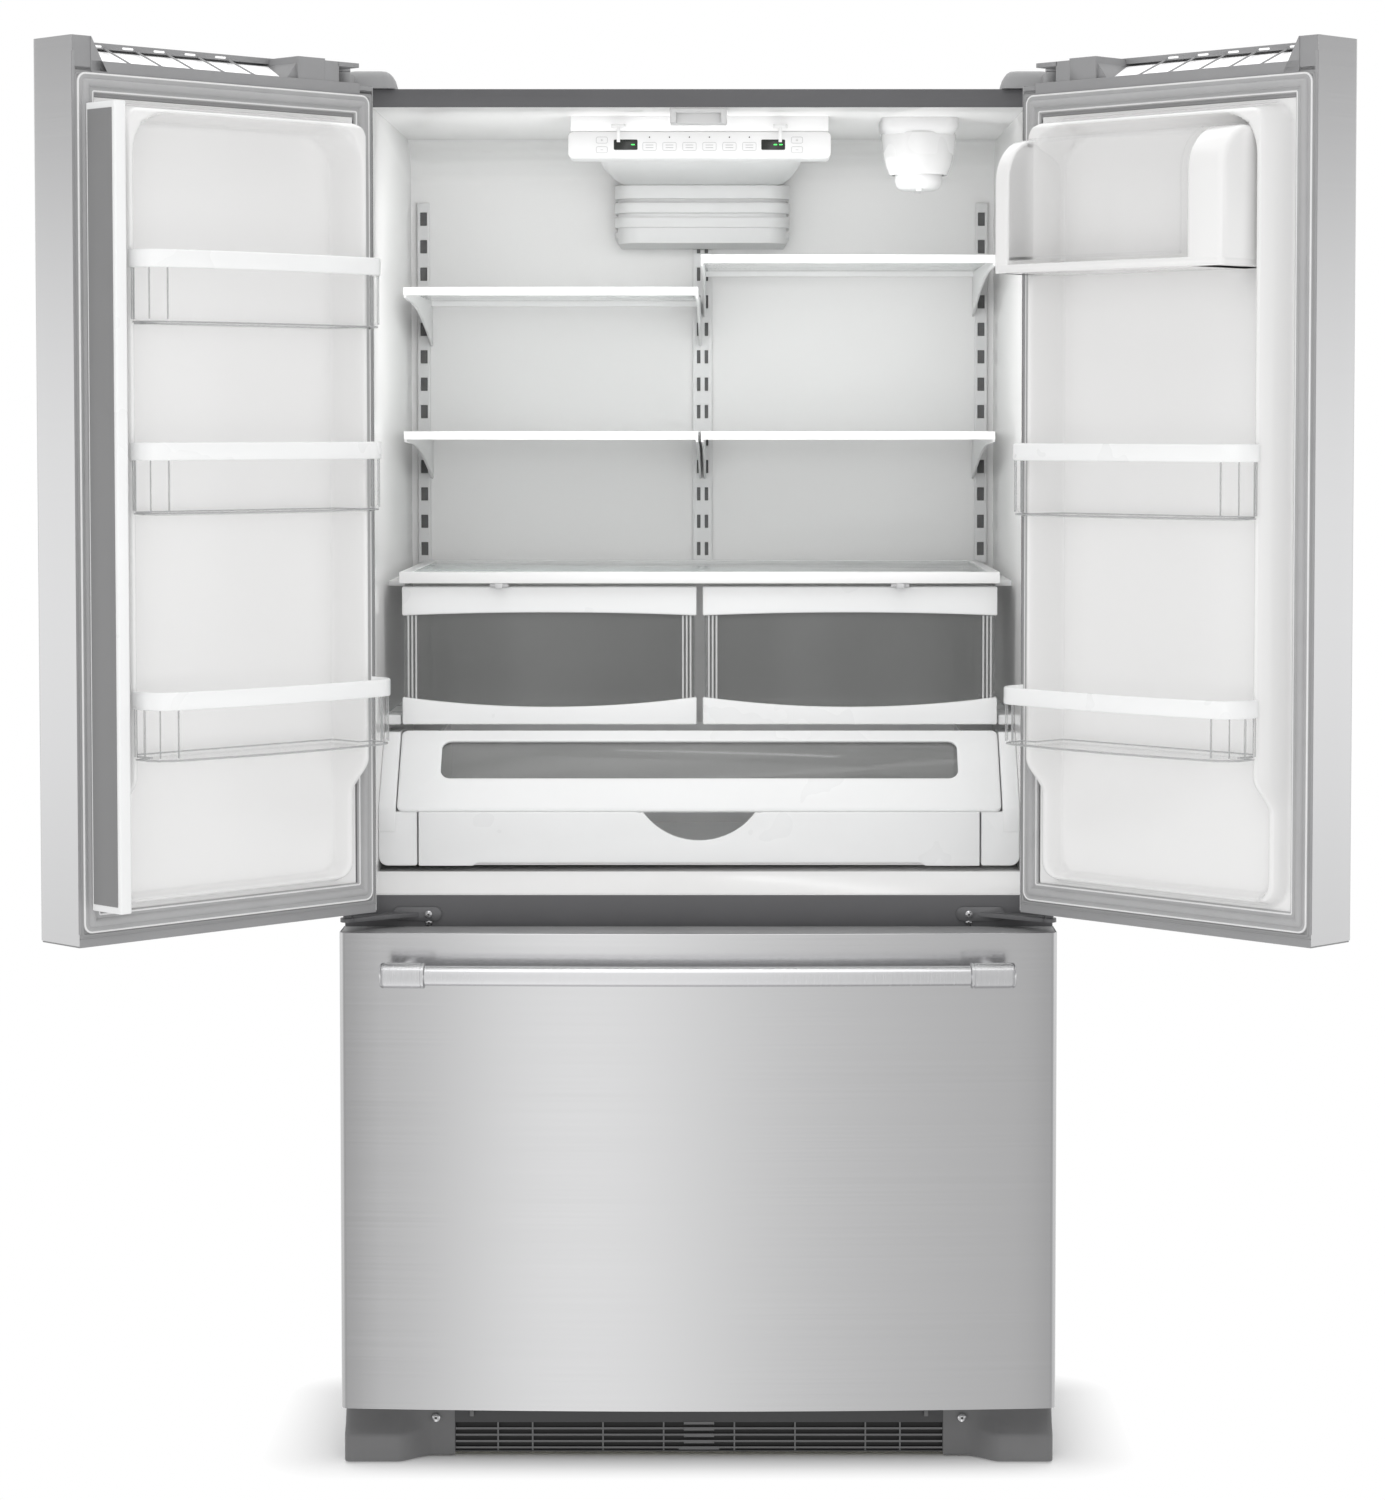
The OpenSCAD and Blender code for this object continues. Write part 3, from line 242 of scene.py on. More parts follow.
def rounded(points, steps=6):
    """A closed outline from corners (x, y, radius), the same count of points whatever the radii."""
    out = []
    for i, (x, y, r) in enumerate(points):
        corner = Vector((x, y))
        if r <= 0.0:
            out.append((x, y))
            continue
        before = (Vector(points[i - 1][:2]) - corner).normalized()
        after = (Vector(points[(i + 1) % len(points)][:2]) - corner).normalized()
        half = before.angle(after) / 2
        reach = r / math.tan(half)
        centre = corner + (before + after).normalized() * (r / math.sin(half))
        start = corner + before * reach - centre
        end = corner + after * reach - centre
        a0 = math.atan2(start.y, start.x)
        turn = math.atan2(end.y, end.x) - a0
        turn = (turn + math.pi) % (2 * math.pi) - math.pi
        for k in range(steps + 1):
            a = a0 + turn * k / steps
            out.append((centre.x + r * math.cos(a), centre.y + r * math.sin(a)))
    return out


def rect(x0, x1, y0, y1, r=0.0, steps=6):
    return rounded([(x0, y0, r), (x1, y0, r), (x1, y1, r), (x0, y1, r)], steps)


def at_height(outline, z):
    return [(x, y, z) for x, y in outline]


def at_depth(outline, y):
    return [(x, y, z) for x, z in outline]


def at_side(outline, x):
    return [(x, y, z) for y, z in outline]


# ---------------------------------------------------------------- mesh parts

def loft(rings, caps=True, loop=False):
    """Faces between outlines that have the same count of points."""
    n = len(rings[0])
    verts = [p for ring in rings for p in ring]
    faces = []
    count = len(rings)
    for k in range(count if loop else count - 1):
        a, b = k * n, ((k + 1) % count) * n
        for i in range(n):
            j = (i + 1) % n
            faces.append((a + i, a + j, b + j, b + i))
    if caps and not loop:
        faces.append(tuple(range(n))[::-1])
        faces.append(tuple(range((count - 1) * n, count * n)))
    return verts, faces


def block(x, y, z):
    """A closed box, which a bevel then rounds."""
    return loft([at_height(rect(x[0], x[1], y[0], y[1]), h) for h in z])


def grid(us, ws, surface, back):
    """A closed sheet: surface(u, w) gives the front's depth, back is the flat rear's depth."""
    nu, nw = len(us), len(ws)
    verts = [(u, surface(u, w), w) for w in ws for u in us]
    faces = [(r * nu + c, r * nu + c + 1, (r + 1) * nu + c + 1, (r + 1) * nu + c)
             for r in range(nw - 1) for c in range(nu - 1)]
    edge = ([(c, 0) for c in range(nu)] + [(nu - 1, r) for r in range(1, nw)]
            + [(c, nw - 1) for c in range(nu - 2, -1, -1)] + [(0, r) for r in range(nw - 2, 0, -1)])
    first = len(verts)
    verts += [(us[c], back, ws[r]) for c, r in edge]
    n = len(edge)
    for i in range(n):
        c, r = edge[i]
        d, s = edge[(i + 1) % n]
        faces.append((r * nu + c, s * nu + d, first + (i + 1) % n, first + i))
    faces.append(tuple(range(first, first + n)))
    return verts, faces


def turned(profile, centre, axis, steps=32):
    """A lathe shape: profile of (distance along, radius) about an axis through the centre."""
    axis = Vector(axis).normalized()
    side = axis.orthogonal().normalized()
    other = axis.cross(side)
    rings = []
    for along, radius in profile:
        ring = []
        for k in range(steps):
            a = 2 * math.pi * k / steps
            p = Vector(centre) + axis * along + (side * math.cos(a) + other * math.sin(a)) * max(radius, 0.01)
            ring.append(tuple(p))
        rings.append(ring)
    return loft(rings)


def swept(path, radius, steps=12, closed=False):
    """A round rod along a path; radius is one number or one for each point."""
    points = [Vector(p) for p in path]
    n = len(points)
    rings = []
    normal = None
    for i, p in enumerate(points):
        before = points[i - 1] if (i or closed) else p
        after = points[(i + 1) % n] if (i < n - 1 or closed) else p
        tangent = (after - before).normalized()
        if normal is None:
            normal = tangent.orthogonal().normalized()
        normal = (normal - tangent * normal.dot(tangent)).normalized()
        other = tangent.cross(normal)
        r = radius[i] if isinstance(radius, (list, tuple)) else radius
        rings.append([tuple(p + (normal * math.cos(2 * math.pi * k / steps)
                                 + other * math.sin(2 * math.pi * k / steps)) * r) for k in range(steps)])
    return loft(rings, caps=not closed, loop=closed)


def merged(parts):
    verts, faces = [], []
    for v, f in parts:
        first = len(verts)
        verts += v
        faces += [tuple(i + first for i in face) for face in f]
    return verts, faces


def smoothstep(t):
    t = min(1.0, max(0.0, t))
    return t * t * (3 - 2 * t)


def spaced(start, stop, step):
    count = max(1, round((stop - start) / step))
    return [start + (stop - start) * i / count for i in range(count)]


def piece(name, parts, place, material, body, hides=(), bevel=0.0, angle=30, smooth=35,
          steps=2, rounds=0):
    """Makes one named piece from mesh parts, rounds its edges and lets it ride on a body."""
    verts, faces = merged(parts)
    mesh = bpy.data.meshes.new(name)
    mesh.from_pydata([tuple(place @ Vector(v)) for v in verts], [], faces)
    work = bmesh.new()
    work.from_mesh(mesh)
    bmesh.ops.remove_doubles(work, verts=work.verts, dist=2e-6)
    bmesh.ops.recalc_face_normals(work, faces=work.faces)
    work.to_mesh(mesh)
    work.free()
    obj = bpy.data.objects.new(name, mesh)
    bpy.context.scene.collection.objects.link(obj)
    if rounds:
        level = obj.modifiers.new("rounds", "SUBSURF")
        level.levels = level.render_levels = rounds
    if bevel:
        edge = obj.modifiers.new("edges", "BEVEL")
        edge.width = bevel * MM
        edge.segments = steps
        edge.limit_method = "ANGLE"
        edge.angle_limit = math.radians(angle)
        edge.use_clamp_overlap = True
    if bevel or rounds:
        depsgraph = bpy.context.evaluated_depsgraph_get()
        done = bpy.data.meshes.new_from_object(obj.evaluated_get(depsgraph))
        obj.modifiers.clear()
        obj.data = done
    obj.data.name = name
    obj.data.shade_smooth()
    obj.data.set_sharp_from_angle(angle=math.radians(smooth))
    obj.data.materials.clear()
    obj.data.materials.append(material)
    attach(obj, body)
    if hides:
        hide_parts(*hides)
    return obj


# ---------------------------------------------------------------- CAD nodes that are shown as they are

NODE_SLOT = {
    "outer_case": "case_grey", "insulation": "foam", "freezer_liner": "liner_white",
    "rear_panels": "sheet_steel", "base_frame": "sheet_steel", "compressor": "machine_black",
    "condenser": "machine_black", "evaporator": "fin_aluminium", "evaporator_cover": "liner_white",
    "hinge_brackets": "bracket_steel",
    "light_lens": "clear_plastic",
    "shelf_ladders": "ladder_grey", "shelf_frames": "white_plastic",
    "glass_panes": "shelf_glass", "freezer_slides": "rail_steel",
    "condenser_fan": "roller_black", "evaporator_fan": "white_plastic", "front_rollers": "roller_black",
    "rear_rollers": "roller_black", "levelling_foot_left": "foot_steel",
    "levelling_foot_right": "foot_steel", "humidity_slider_left": "knob_grey",
    "humidity_slider_right": "knob_grey",
    "freezer_basket": "white_plastic", "upper_basket": "white_plastic", "fridge_liner": "liner_white",
}
EDGE_ROUND = {"outer_case": 1.0, "insulation": 0.0, "glass_panes": 1.0, "freezer_liner": 2.0,
              "fridge_liner": 4.0, "evaporator": 0.0, "condenser": 0.0}


NODE_FINISH = {"light_lens": LENS}


def dress(name):
    """Gives a CAD node its finish and rounds its edges a little, without touching its mesh data."""
    obj = NODES[name]
    obj.data.materials.clear()
    obj.data.materials.append(NODE_FINISH.get(name, MATERIALS[NODE_SLOT[name]]))
    obj.data.shade_smooth()
    weld = obj.modifiers.new("weld", "WELD")
    weld.merge_threshold = 1e-5
    width = EDGE_ROUND.get(name, 0.8)
    if width:
        edge = obj.modifiers.new("edges", "BEVEL")
        edge.width = width * MM
        edge.segments = 2
        edge.limit_method = "ANGLE"
        edge.angle_limit = math.radians(32)
        edge.use_clamp_overlap = True
        edge.harden_normals = True


for node_name in NODE_SLOT:
    dress(node_name)

# ---------------------------------------------------------------- shapes that both doors share

DOOR_U0 = (abs(PIN.x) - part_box("outer_case")[1].x) / MM
DOOR_U1 = DOOR_U0 + 451.0
SKIN_Z = (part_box("door_left_skin")[0].z / MM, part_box("door_left_skin")[1].z / MM)
LINER_Z = (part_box("door_left_liner")[0].z / MM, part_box("door_left_liner")[1].z / MM)
HINGE_STEP_U, HINGE_STEP_Z = 66.0, 1746.0
SEAM = 0.01
INNER_FACE = 45.0
SKIN_FRONT = -19.0
SKIN_BULGE = 16.0
HALF_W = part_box("outer_case")[1].x / MM
BULGE_R = (HALF_W ** 2 + SKIN_BULGE ** 2) / (2 * SKIN_BULGE)
RIDGE = ((35.0, 408.0), (757.0, 1702.0), 28.0)
PANEL = ((59.0, 384.0), (771.0, 1680.0), 42.0)
PANEL_LOW_R = 18.0
RIDGE_LEVELS = (65.0, 97.0)
SWEEP_Z = (868.0, 915.0)


def bulge(x):
    """How far the one large curve of all the fronts lies in front of its ends."""
    return math.sqrt(BULGE_R ** 2 - x ** 2) - (BULGE_R - SKIN_BULGE)


def skin_path(u0, u1, inset, x_of, edge, back, corner):
    """Plan of a steel front: back edge, rounded corner, bulged face, rounded corner, back edge."""
    lines = [(u0 + inset, back)]
    left_v = edge - bulge(x_of(u0)) + inset
    right_v = edge - bulge(x_of(u1)) + inset
    r = corner - inset
    turns = 6
    lines += [(u0 + inset, back - (back - left_v - r) * k / 3) for k in (1, 2)]
    for k in range(turns + 1):
        a = math.pi / 2 * k / turns
        lines.append((u0 + inset + r * (1 - math.cos(a)), left_v + r * (1 - math.sin(a))))
    inner = [u0 + corner + (u1 - u0 - 2 * corner) * k / 40 for k in range(1, 40)]
    lines += [(u, edge - bulge(x_of(u)) + inset) for u in inner]
    for k in range(turns + 1):
        a = math.pi / 2 * k / turns
        lines.append((u1 - inset - r * (1 - math.sin(a)), right_v + r * (1 - math.cos(a))))
    lines += [(u1 - inset, right_v + r + (back - right_v - r) * k / 3) for k in (1, 2)]
    lines.append((u1 - inset, back))
    return lines


def shell(outer, inner, levels, keep=lambda a, b, low, high: True):
    """A bent sheet between an outer and an inner open path, raised through levels."""
    n = len(outer)
    verts = [(x, y, z) for z in levels for x, y in outer + inner[::-1]]
    m = 2 * n
    faces = []
    for r in range(len(levels) - 1):
        for i in range(m):
            j = (i + 1) % m
            faces.append((r * m + i, r * m + j, (r + 1) * m + j, (r + 1) * m + i))
    for r in (0, len(levels) - 1):
        for i in range(n - 1):
            faces.append((r * m + i, r * m + i + 1, r * m + m - 2 - i, r * m + m - 1 - i))
    return verts, faces


def door_skin(side):
    place, body = DOORS[side], "door_" + side
    to_x = lambda u: u - abs(PIN.x) / MM
    outer = skin_path(DOOR_U0, DOOR_U1, 0.0, to_x, SKIN_FRONT, INNER_FACE, 7.0)
    inner = skin_path(DOOR_U0, DOOR_U1, 1.2, to_x, SKIN_FRONT, INNER_FACE, 7.0)
    low = shell(outer, inner, [SKIN_Z[0], (SKIN_Z[0] + SKIN_Z[1]) / 2, HINGE_STEP_Z])
    beyond = [i for i, p in enumerate(outer) if p[0] >= HINGE_STEP_U]
    high = shell([outer[i] for i in beyond], [inner[i] for i in beyond], [HINGE_STEP_Z + SEAM, SKIN_Z[1]])
    piece(f"door_{side}_steel_skin", [low, high], place, MATERIALS["stainless"], body,
          [f"door_{side}_skin", f"door_{side}_core"], smooth=30)


def box_distance(u, z, across, up, r):
    """Signed distance to a rounded rectangle, negative inside."""
    cu, cz = (across[0] + across[1]) / 2, (up[0] + up[1]) / 2
    du = abs(u - cu) - ((across[1] - across[0]) / 2 - r)
    dz = abs(z - cz) - ((up[1] - up[0]) / 2 - r)
    return math.hypot(max(du, 0), max(dz, 0)) + min(max(du, dz), 0) - r


def ridge_level(z):
    low, high = RIDGE_LEVELS
    level = low + (high - low) * smoothstep((z - SWEEP_Z[0]) / (SWEEP_Z[1] - SWEEP_Z[0]))
    return level - max(0.0, z - (RIDGE[1][1] - 14)) * 0.9


def liner_surface(u, z):
    """Depth of the moulded liner: a ridge all round, deep above and shallow below."""
    rise = smoothstep(-box_distance(u, z, *RIDGE) / 10.0)
    across, up, r = PANEL
    fall = smoothstep(box_distance(u, z, across, up, r if z > 1200 else PANEL_LOW_R) / 12.0 + 0.15)
    return INNER_FACE + (ridge_level(z) - INNER_FACE) * rise * fall


def liner_lines():
    us = ([24.0] + spaced(34, 48, 1.4) + spaced(48, 62, 1.4) + spaced(62, 104, 5.0)
          + spaced(104, 340, 14.0) + spaced(340, 382, 5.0) + spaced(382, 410, 1.4) + [410.0, 413.0])
    zs = ([752.0] + spaced(756, 790, 1.5) + spaced(790, 828, 5.0) + spaced(828, 868, 8.0)
          + spaced(868, 915, 3.0) + spaced(915, 1636, 24.0) + spaced(1636, 1678, 5.0)
          + spaced(1678, 1703, 1.6) + [1703.0, 1705.5])
    return us, zs


def ring_path(x, z, insets, r):
    """Rounded rectangles drawn in by (inset, depth) pairs."""
    return [at_depth(rect(x[0] + s, x[1] - s, z[0] + s, z[1] - s, max(1.0, r - s)), v) for s, v in insets]


GASKET_PROFILE = [(0, 0), (0, 2.2), (1.2, 3.2), (3.2, 3.4), (5.2, 2.6), (7.0, 2.6), (8.4, 5.2), (10, 6.4),
                  (14, 6.4), (15.8, 5.2), (17.2, 2.8), (19, 2.8), (20.6, 3.6), (22.6, 3.4), (24, 2.2), (24, 0)]


def bin_outline(front, t):
    """Plan of a door bin: a neck between the ridges, then wider with a bowed front."""
    u0, u1 = 40 + t, 404 - t
    middle, bow = 222.0, 1111.0
    face = lambda u: front - t - (u - middle) ** 2 / (2 * bow)
    shoulder = RIDGE_LEVELS[1] + 1.5 + t
    bowed = [(u1 - 40 - (u1 - u0 - 80) * k / 8, 0) for k in range(9)]
    corners = [(60.5 + t, 47 + t, 5), (382.5 - t, 47 + t, 5), (382.5 - t, shoulder, 2.5),
               (u1, shoulder, 4 - 0.5 * min(t, 4)), (u1, face(u1), 34 - t)]
    corners += [(u, face(u), 0) for u, _ in bowed]
    corners += [(u0, face(u0), 34 - t), (u0, shoulder, 4 - 0.5 * min(t, 4)), (60.5 + t, shoulder, 2.5)]
    return rounded(corners, 6)


# Of an outline's points, those from one shoulder round the front to the other shoulder.
BIN_WIDE_POINTS = (3 * 7 + 2, len(bin_outline(150, 0)) - 7 - 2)
# Where its corners turn: the ends of the front and the middle of each rounded corner.
BIN_CORNERS = (24, 28, 31, 34, 44, 47, 50, 54)


def strip_round(front, profile):
    """A closed (inset, height) profile carried round the wide part of a bin's outline."""
    plans = [(bin_outline(front, t), z) for t, z in profile]
    return loft([[(*plan[i], z) for plan, z in plans] for i in range(*BIN_WIDE_POINTS)])


def door_bin(side, name, z0, z1, front, hides=()):
    """A clear tub with a rounded foot, grey rods along its corners and foot as painted shade lines, and a white band
    round the top.
    """
    place, body = DOORS[side], "door_" + side
    r, wall, base = 9.0, 2.4, 3.0
    turn = [math.pi / 2 * k / 5 for k in range(6)]
    outer = [(2 + r * (1 - math.sin(a)), z0 + r * (1 - math.cos(a))) for a in turn]
    inner = [(2 + wall + (r - 1) * (1 - math.sin(a)), z0 + base + (r - 1) * (1 - math.cos(a))) for a in turn]
    wall_strip = strip_round(front, [(2, z1 - 2)] + outer[::-1] + inner + [(2 + wall, z1 - 2)])
    slab = loft([at_height(bin_outline(front, 2.5 + r), z) for z in (z0, z0 + base)])
    piece(f"{name}_tub", [wall_strip, slab], place, MATERIALS["clear_plastic"], body, hides)
    # Grey rods along the corners and the foot: painted shade lines for the dark look of the clear corners.
    edges = [swept([(u, v, z) for u, v in bin_outline(front, t)], thick, 8, True)
             for t, z, thick in ((2 + r * 0.2, z0 + r * 0.25, 0.9), (2 + wall + r * 0.2, z0 + base, 0.6))]
    for u, v in [bin_outline(front, t)[i] for t in (2.6, 2 + wall) for i in BIN_CORNERS]:
        edges.append(swept([(u, v, z) for z in (z0 + r * 0.6, z1 - 20)], 0.7, 8))
    piece(f"{name}_edges", edges, place, CLEAR_EDGE_PAINTED_SHADE, body, smooth=60)
    band = [(1.0, z1 - 21), (0.2, z1 - 20.3), (0, z1 - 19), (0, z1 - 2), (0.6, z1 - 0.6), (1.8, z1), (3.2, z1),
            (4.2, z1 - 0.5), (4.6, z1 - 1.6), (4.6, z1 - 21)]
    piece(f"{name}_band", [strip_round(front, band)], place, RIM_WHITE, body, smooth=50)


def bar_profile(half, collar, bar_r, collar_r, grooves):
    """Lathe profile of a rail handle: thick ferrules with grooves and domed ends."""
    end = [(0, 3.0), (0.6, collar_r - 3.2), (1.6, collar_r - 1.2), (3.2, collar_r)]
    body = []
    for g in grooves:
        body += [(g, collar_r), (g + 0.2, collar_r - 0.9), (g + 1.2, collar_r - 0.9), (g + 1.4, collar_r)]
    neck = [(collar - 1.4, collar_r), (collar - 0.6, collar_r - 0.7), (collar, bar_r + 0.2), (collar + 0.2, bar_r)]
    left = end + body + neck
    profile = [(-half + a, r) for a, r in left]
    profile += [(half - a, r) for a, r in reversed(left)]
    return profile


def door_handle(side):
    place, body = DOORS[side], "door_" + side
    low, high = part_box(f"door_{side}_handle")[0].z / MM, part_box(f"door_{side}_handle")[1].z / MM
    middle, half = (low + high) / 2, (high - low) / 2
    u, v = 375.0, -85.0
    profile = bar_profile(half, 57.0, 12.4, 15.9, (5.0, 52.0))
    bar = turned(profile, (u, v, middle), (0, 0, 1), 40)
    posts = []
    for z in (low + 28.5, high - 28.5):
        profile = [(0, 9.6), (30, 9.6), (42, 9.8), (47, 10.0), (50.0, 10.0)]
        posts.append(turned(profile, (u, v, z), (0, 1, 0), 32))
    piece(f"door_{side}_rail_handle", [bar] + posts, place, MATERIALS["handle_steel"], body,
          [f"door_{side}_handle"], smooth=40)


def door_liner(side):
    us, zs = liner_lines()
    sheet = grid(us, zs, liner_surface, INNER_FACE - 4)
    piece(f"door_{side}_moulded_liner", [sheet], DOORS[side], MATERIALS["liner_white"], "door_" + side,
          [f"door_{side}_liner"], smooth=60)


def door_gasket(side):
    insets = [(s, INNER_FACE + h) for s, h in GASKET_PROFILE]
    rings = ring_path((-2, 436), (730, 1734), insets, 12)
    piece(f"door_{side}_seal", [loft(rings, loop=True)], DOORS[side], MATERIALS["gasket_grey"],
          "door_" + side, [f"door_{side}_gasket"], smooth=50)
    # Two light grey rods along the seal's ridges: painted highlights on the grey gasket.
    lines = [swept(at_depth(rect(-2 + s, 436 - s, 730 + s, 1734 - s, max(2, 12 - s)), INNER_FACE + h), r, 8, True)
             for s, h, r in ((1.6, 2.6, 1.3), (21.6, 2.9, 1.2))]
    piece(f"door_{side}_seal_painted_highlights", lines, DOORS[side], PAINTED_SEAL_HIGHLIGHT, "door_" + side, smooth=60)


def clipped(outline, axis, limit, above):
    """The part of an outline on one side of a line square to an axis."""
    out = []
    inside = lambda p: p[axis] >= limit if above else p[axis] <= limit
    for i, p in enumerate(outline):
        q = outline[(i + 1) % len(outline)]
        if inside(p):
            out.append(p)
        if inside(p) != inside(q):
            t = (limit - p[axis]) / (q[axis] - p[axis])
            out.append((p[0] + (q[0] - p[0]) * t, p[1] + (q[1] - p[1]) * t))
    return out


CAP_RIB_U = [125 + 275 * i / 6 for i in range(1, 6)]
CAP_BASE, CAP_WALL, CAP_RIM, CAP_TOP = 1736.0, 1748.0, 1769.0, 1776.0


def door_caps(side):
    """Grey end caps and inner frame: low wall, ribs, raised rim and blocks along the top."""
    place, body = DOORS[side], "door_" + side
    to_x = lambda u: u - abs(PIN.x) / MM
    plan = skin_path(DOOR_U0, DOOR_U1, 1.3, to_x, SKIN_FRONT, INNER_FACE, 7.0)
    bottom = (SKIN_Z[0] - 2.0, SKIN_Z[0] + 8.0)
    level = lambda outline, low, high: loft([at_height(outline, low), at_height(outline, high)])
    near = clipped(plan, 0, HINGE_STEP_U, False)
    ledge = clipped(clipped(plan, 0, 44.3, True), 0, HINGE_STEP_U + 1, False)
    plate = clipped(clipped(clipped(plan, 0, 12.3, True), 0, 45.5, False), 1, -11.7, True)
    block_plan = clipped(clipped(plan, 0, HINGE_STEP_U, True), 0, 108, False)
    far = clipped(plan, 0, 414, True)
    rim = clipped(clipped(clipped(plan, 0, 100, True), 0, 416, False), 1, -12, False)
    caps = [level(plan, *bottom), level(plan, CAP_BASE, CAP_BASE + 4), level(near, CAP_BASE, 1745),
            level(ledge, CAP_BASE, 1772.7), level(plate, 1767.3, 1772.7), level(block_plan, CAP_BASE, 1775),
            level(far, CAP_BASE, CAP_TOP), level(rim, CAP_RIM, CAP_TOP),
            block((12, 414), (INNER_FACE - 4, INNER_FACE + 0.9), (CAP_BASE - 2, CAP_WALL))]
    slope = [(392, CAP_BASE), (414.5, CAP_BASE), (414.5, CAP_TOP), (414, CAP_TOP)]
    caps.append(loft([at_depth(slope, -31.0), at_depth(slope, INNER_FACE + 0.9)]))
    caps.append(loft([at_depth([(107, CAP_BASE + 4), (128, CAP_BASE + 4), (107, 1768)], v)
                      for v in (-22.0, INNER_FACE - 4)]))
    piece(f"door_{side}_end_caps", caps, place, CAP_GREY, body, [f"door_{side}_frame"],
          bevel=0.9, angle=40)
    ribs = [swept([(u, INNER_FACE - 3, CAP_WALL - 1), (u, -13, CAP_RIM + 1)], 1.1, 8) for u in CAP_RIB_U]
    piece(f"door_{side}_cap_ribs", ribs, place, CAP_GREY, body)
    # The white tray behind the cap ribs glows a little: painted light for its bright lit look.
    tray = [(INNER_FACE - 5, CAP_WALL - 4), (-14, CAP_RIM - 3), (-14, CAP_RIM - 4.5), (INNER_FACE - 5, CAP_WALL - 6)]
    slits = [loft([at_depth(rect(u + 4, u + 20, 1770.6, 1773.2, 1.1, 3), v) for v in (-12.2, -11.6)])
             for u in CAP_RIB_U]
    piece(f"door_{side}_cap_tray", [loft([at_side(tray, u) for u in (108, 396)])] + slits, place, TRAY_PAINTED_GLOW,
          body)
    outer = rect(DOOR_U0 + 1.3, DOOR_U1 - 1.3, bottom[1], CAP_BASE, 2, 4)
    inner = rect(22, 414, 750, 1706, 6, 4)
    rings = [at_depth(outer, 41), at_depth(outer, INNER_FACE), at_depth(inner, INNER_FACE), at_depth(inner, 41)]
    bead = [(0, 0), (0.3, 1.0), (1.4, 1.7), (2.6, 1.7), (3.7, 1.0), (4.0, 0)]
    edge = ring_path((DOOR_U0 + 3.4, DOOR_U1 - 3.4), (bottom[1] + 2, CAP_BASE - 2),
                     [(a, INNER_FACE + h) for a, h in bead], 6)
    piece(f"door_{side}_inner_frame", [loft(rings, loop=True), loft(edge, loop=True)], place,
          MATERIALS["frame_grey"], body, bevel=0.6, smooth=50)
    hem = [block((DOOR_U1 - 4.2, DOOR_U1 - 0.2), (INNER_FACE - 0.2, INNER_FACE + 0.7), (bottom[1] + 6, 1758))]
    piece(f"door_{side}_steel_hem", hem, place, MATERIALS["cover_grey"], body, bevel=0.3)


BINS = {"left": [("upper", 1442, 1528, 150), ("middle", 1220, 1305, 150), ("lower", 934, 1016, 165)],
        "right": [("middle", 1214, 1303, 150), ("lower", 934, 1006, 165)]}

for side in DOORS:
    door_skin(side)
    door_caps(side)
    door_liner(side)
    door_gasket(side)
    door_handle(side)
    for i, (level, z0, z1, front) in enumerate(BINS[side]):
        hidden = [f"door_{side}_bins"] if i == 0 else []
        door_bin(side, f"door_{side}_{level}_bin", z0, z1, front, hidden)

# ---------------------------------------------------------------- mullion bar on the left door

BAR_U, BAR_V = (415.0, 433.0), (58.0, 114.5)
BAR_Z = (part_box("mullion")[0].z / MM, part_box("mullion")[1].z / MM)
plate_inset = 5.0
bar_body = loft([at_height(rect(BAR_U[0], BAR_U[1] - 1.2, BAR_V[0], BAR_V[1], 3.0), z)
                 for z in (BAR_Z[0] + 1, BAR_Z[1] - 1)])
knuckles = [turned([(-13, 5.4), (13, 5.4)], (BAR_U[0] + 8.2, BAR_V[0] + 5.7, z), (0, 0, 1), 24)
            for z in (860, 1222, 1584)]
piece("mullion_body", [bar_body] + knuckles, DOOR_LEFT, RIM_WHITE, "mullion_bar",
      ["mullion"], bevel=1.2)
piece("mullion_face_plate", [block((BAR_U[1] - 1.6, BAR_U[1]), (BAR_V[0] + plate_inset, BAR_V[1] - plate_inset),
                                   (BAR_Z[0] + 9, BAR_Z[1] - 9))],
      DOOR_LEFT, PLATE_GREY, "mullion_bar", bevel=0.5)

# ---------------------------------------------------------------- dairy compartment on the right door

DAIRY_FLOOR, DAIRY_FRONT, ARCH_Z, ARCH_R = 1509.0, 150.0, 1620.0, 53.0
ARCH_V = RIDGE_LEVELS[1]


def dairy_outline(inset):
    """Side view of a dairy wall: straight front, then an arch back into the ridge."""
    front, r = DAIRY_FRONT - inset, ARCH_R - inset
    points = [(INNER_FACE - 1, DAIRY_FLOOR + inset), (front, DAIRY_FLOOR + inset)]
    points += [(ARCH_V + r * math.cos(math.pi / 2 * k / 14), ARCH_Z + r * math.sin(math.pi / 2 * k / 14))
               for k in range(15)]
    points += [(ARCH_V - 10, ARCH_Z + r), (INNER_FACE - 1, ARCH_Z + r)]
    return points


def dairy_wall(u0, u1, r):
    turn = [math.pi / 2 * k / 5 for k in range(6)]
    rings = [at_side(dairy_outline(r * (1 - math.sin(a))), u0 + r * (1 - math.cos(a))) for a in turn]
    rings += [at_side(dairy_outline(r * (1 - math.sin(a))), u1 - r * (1 - math.cos(a))) for a in reversed(turn)]
    return loft(rings)


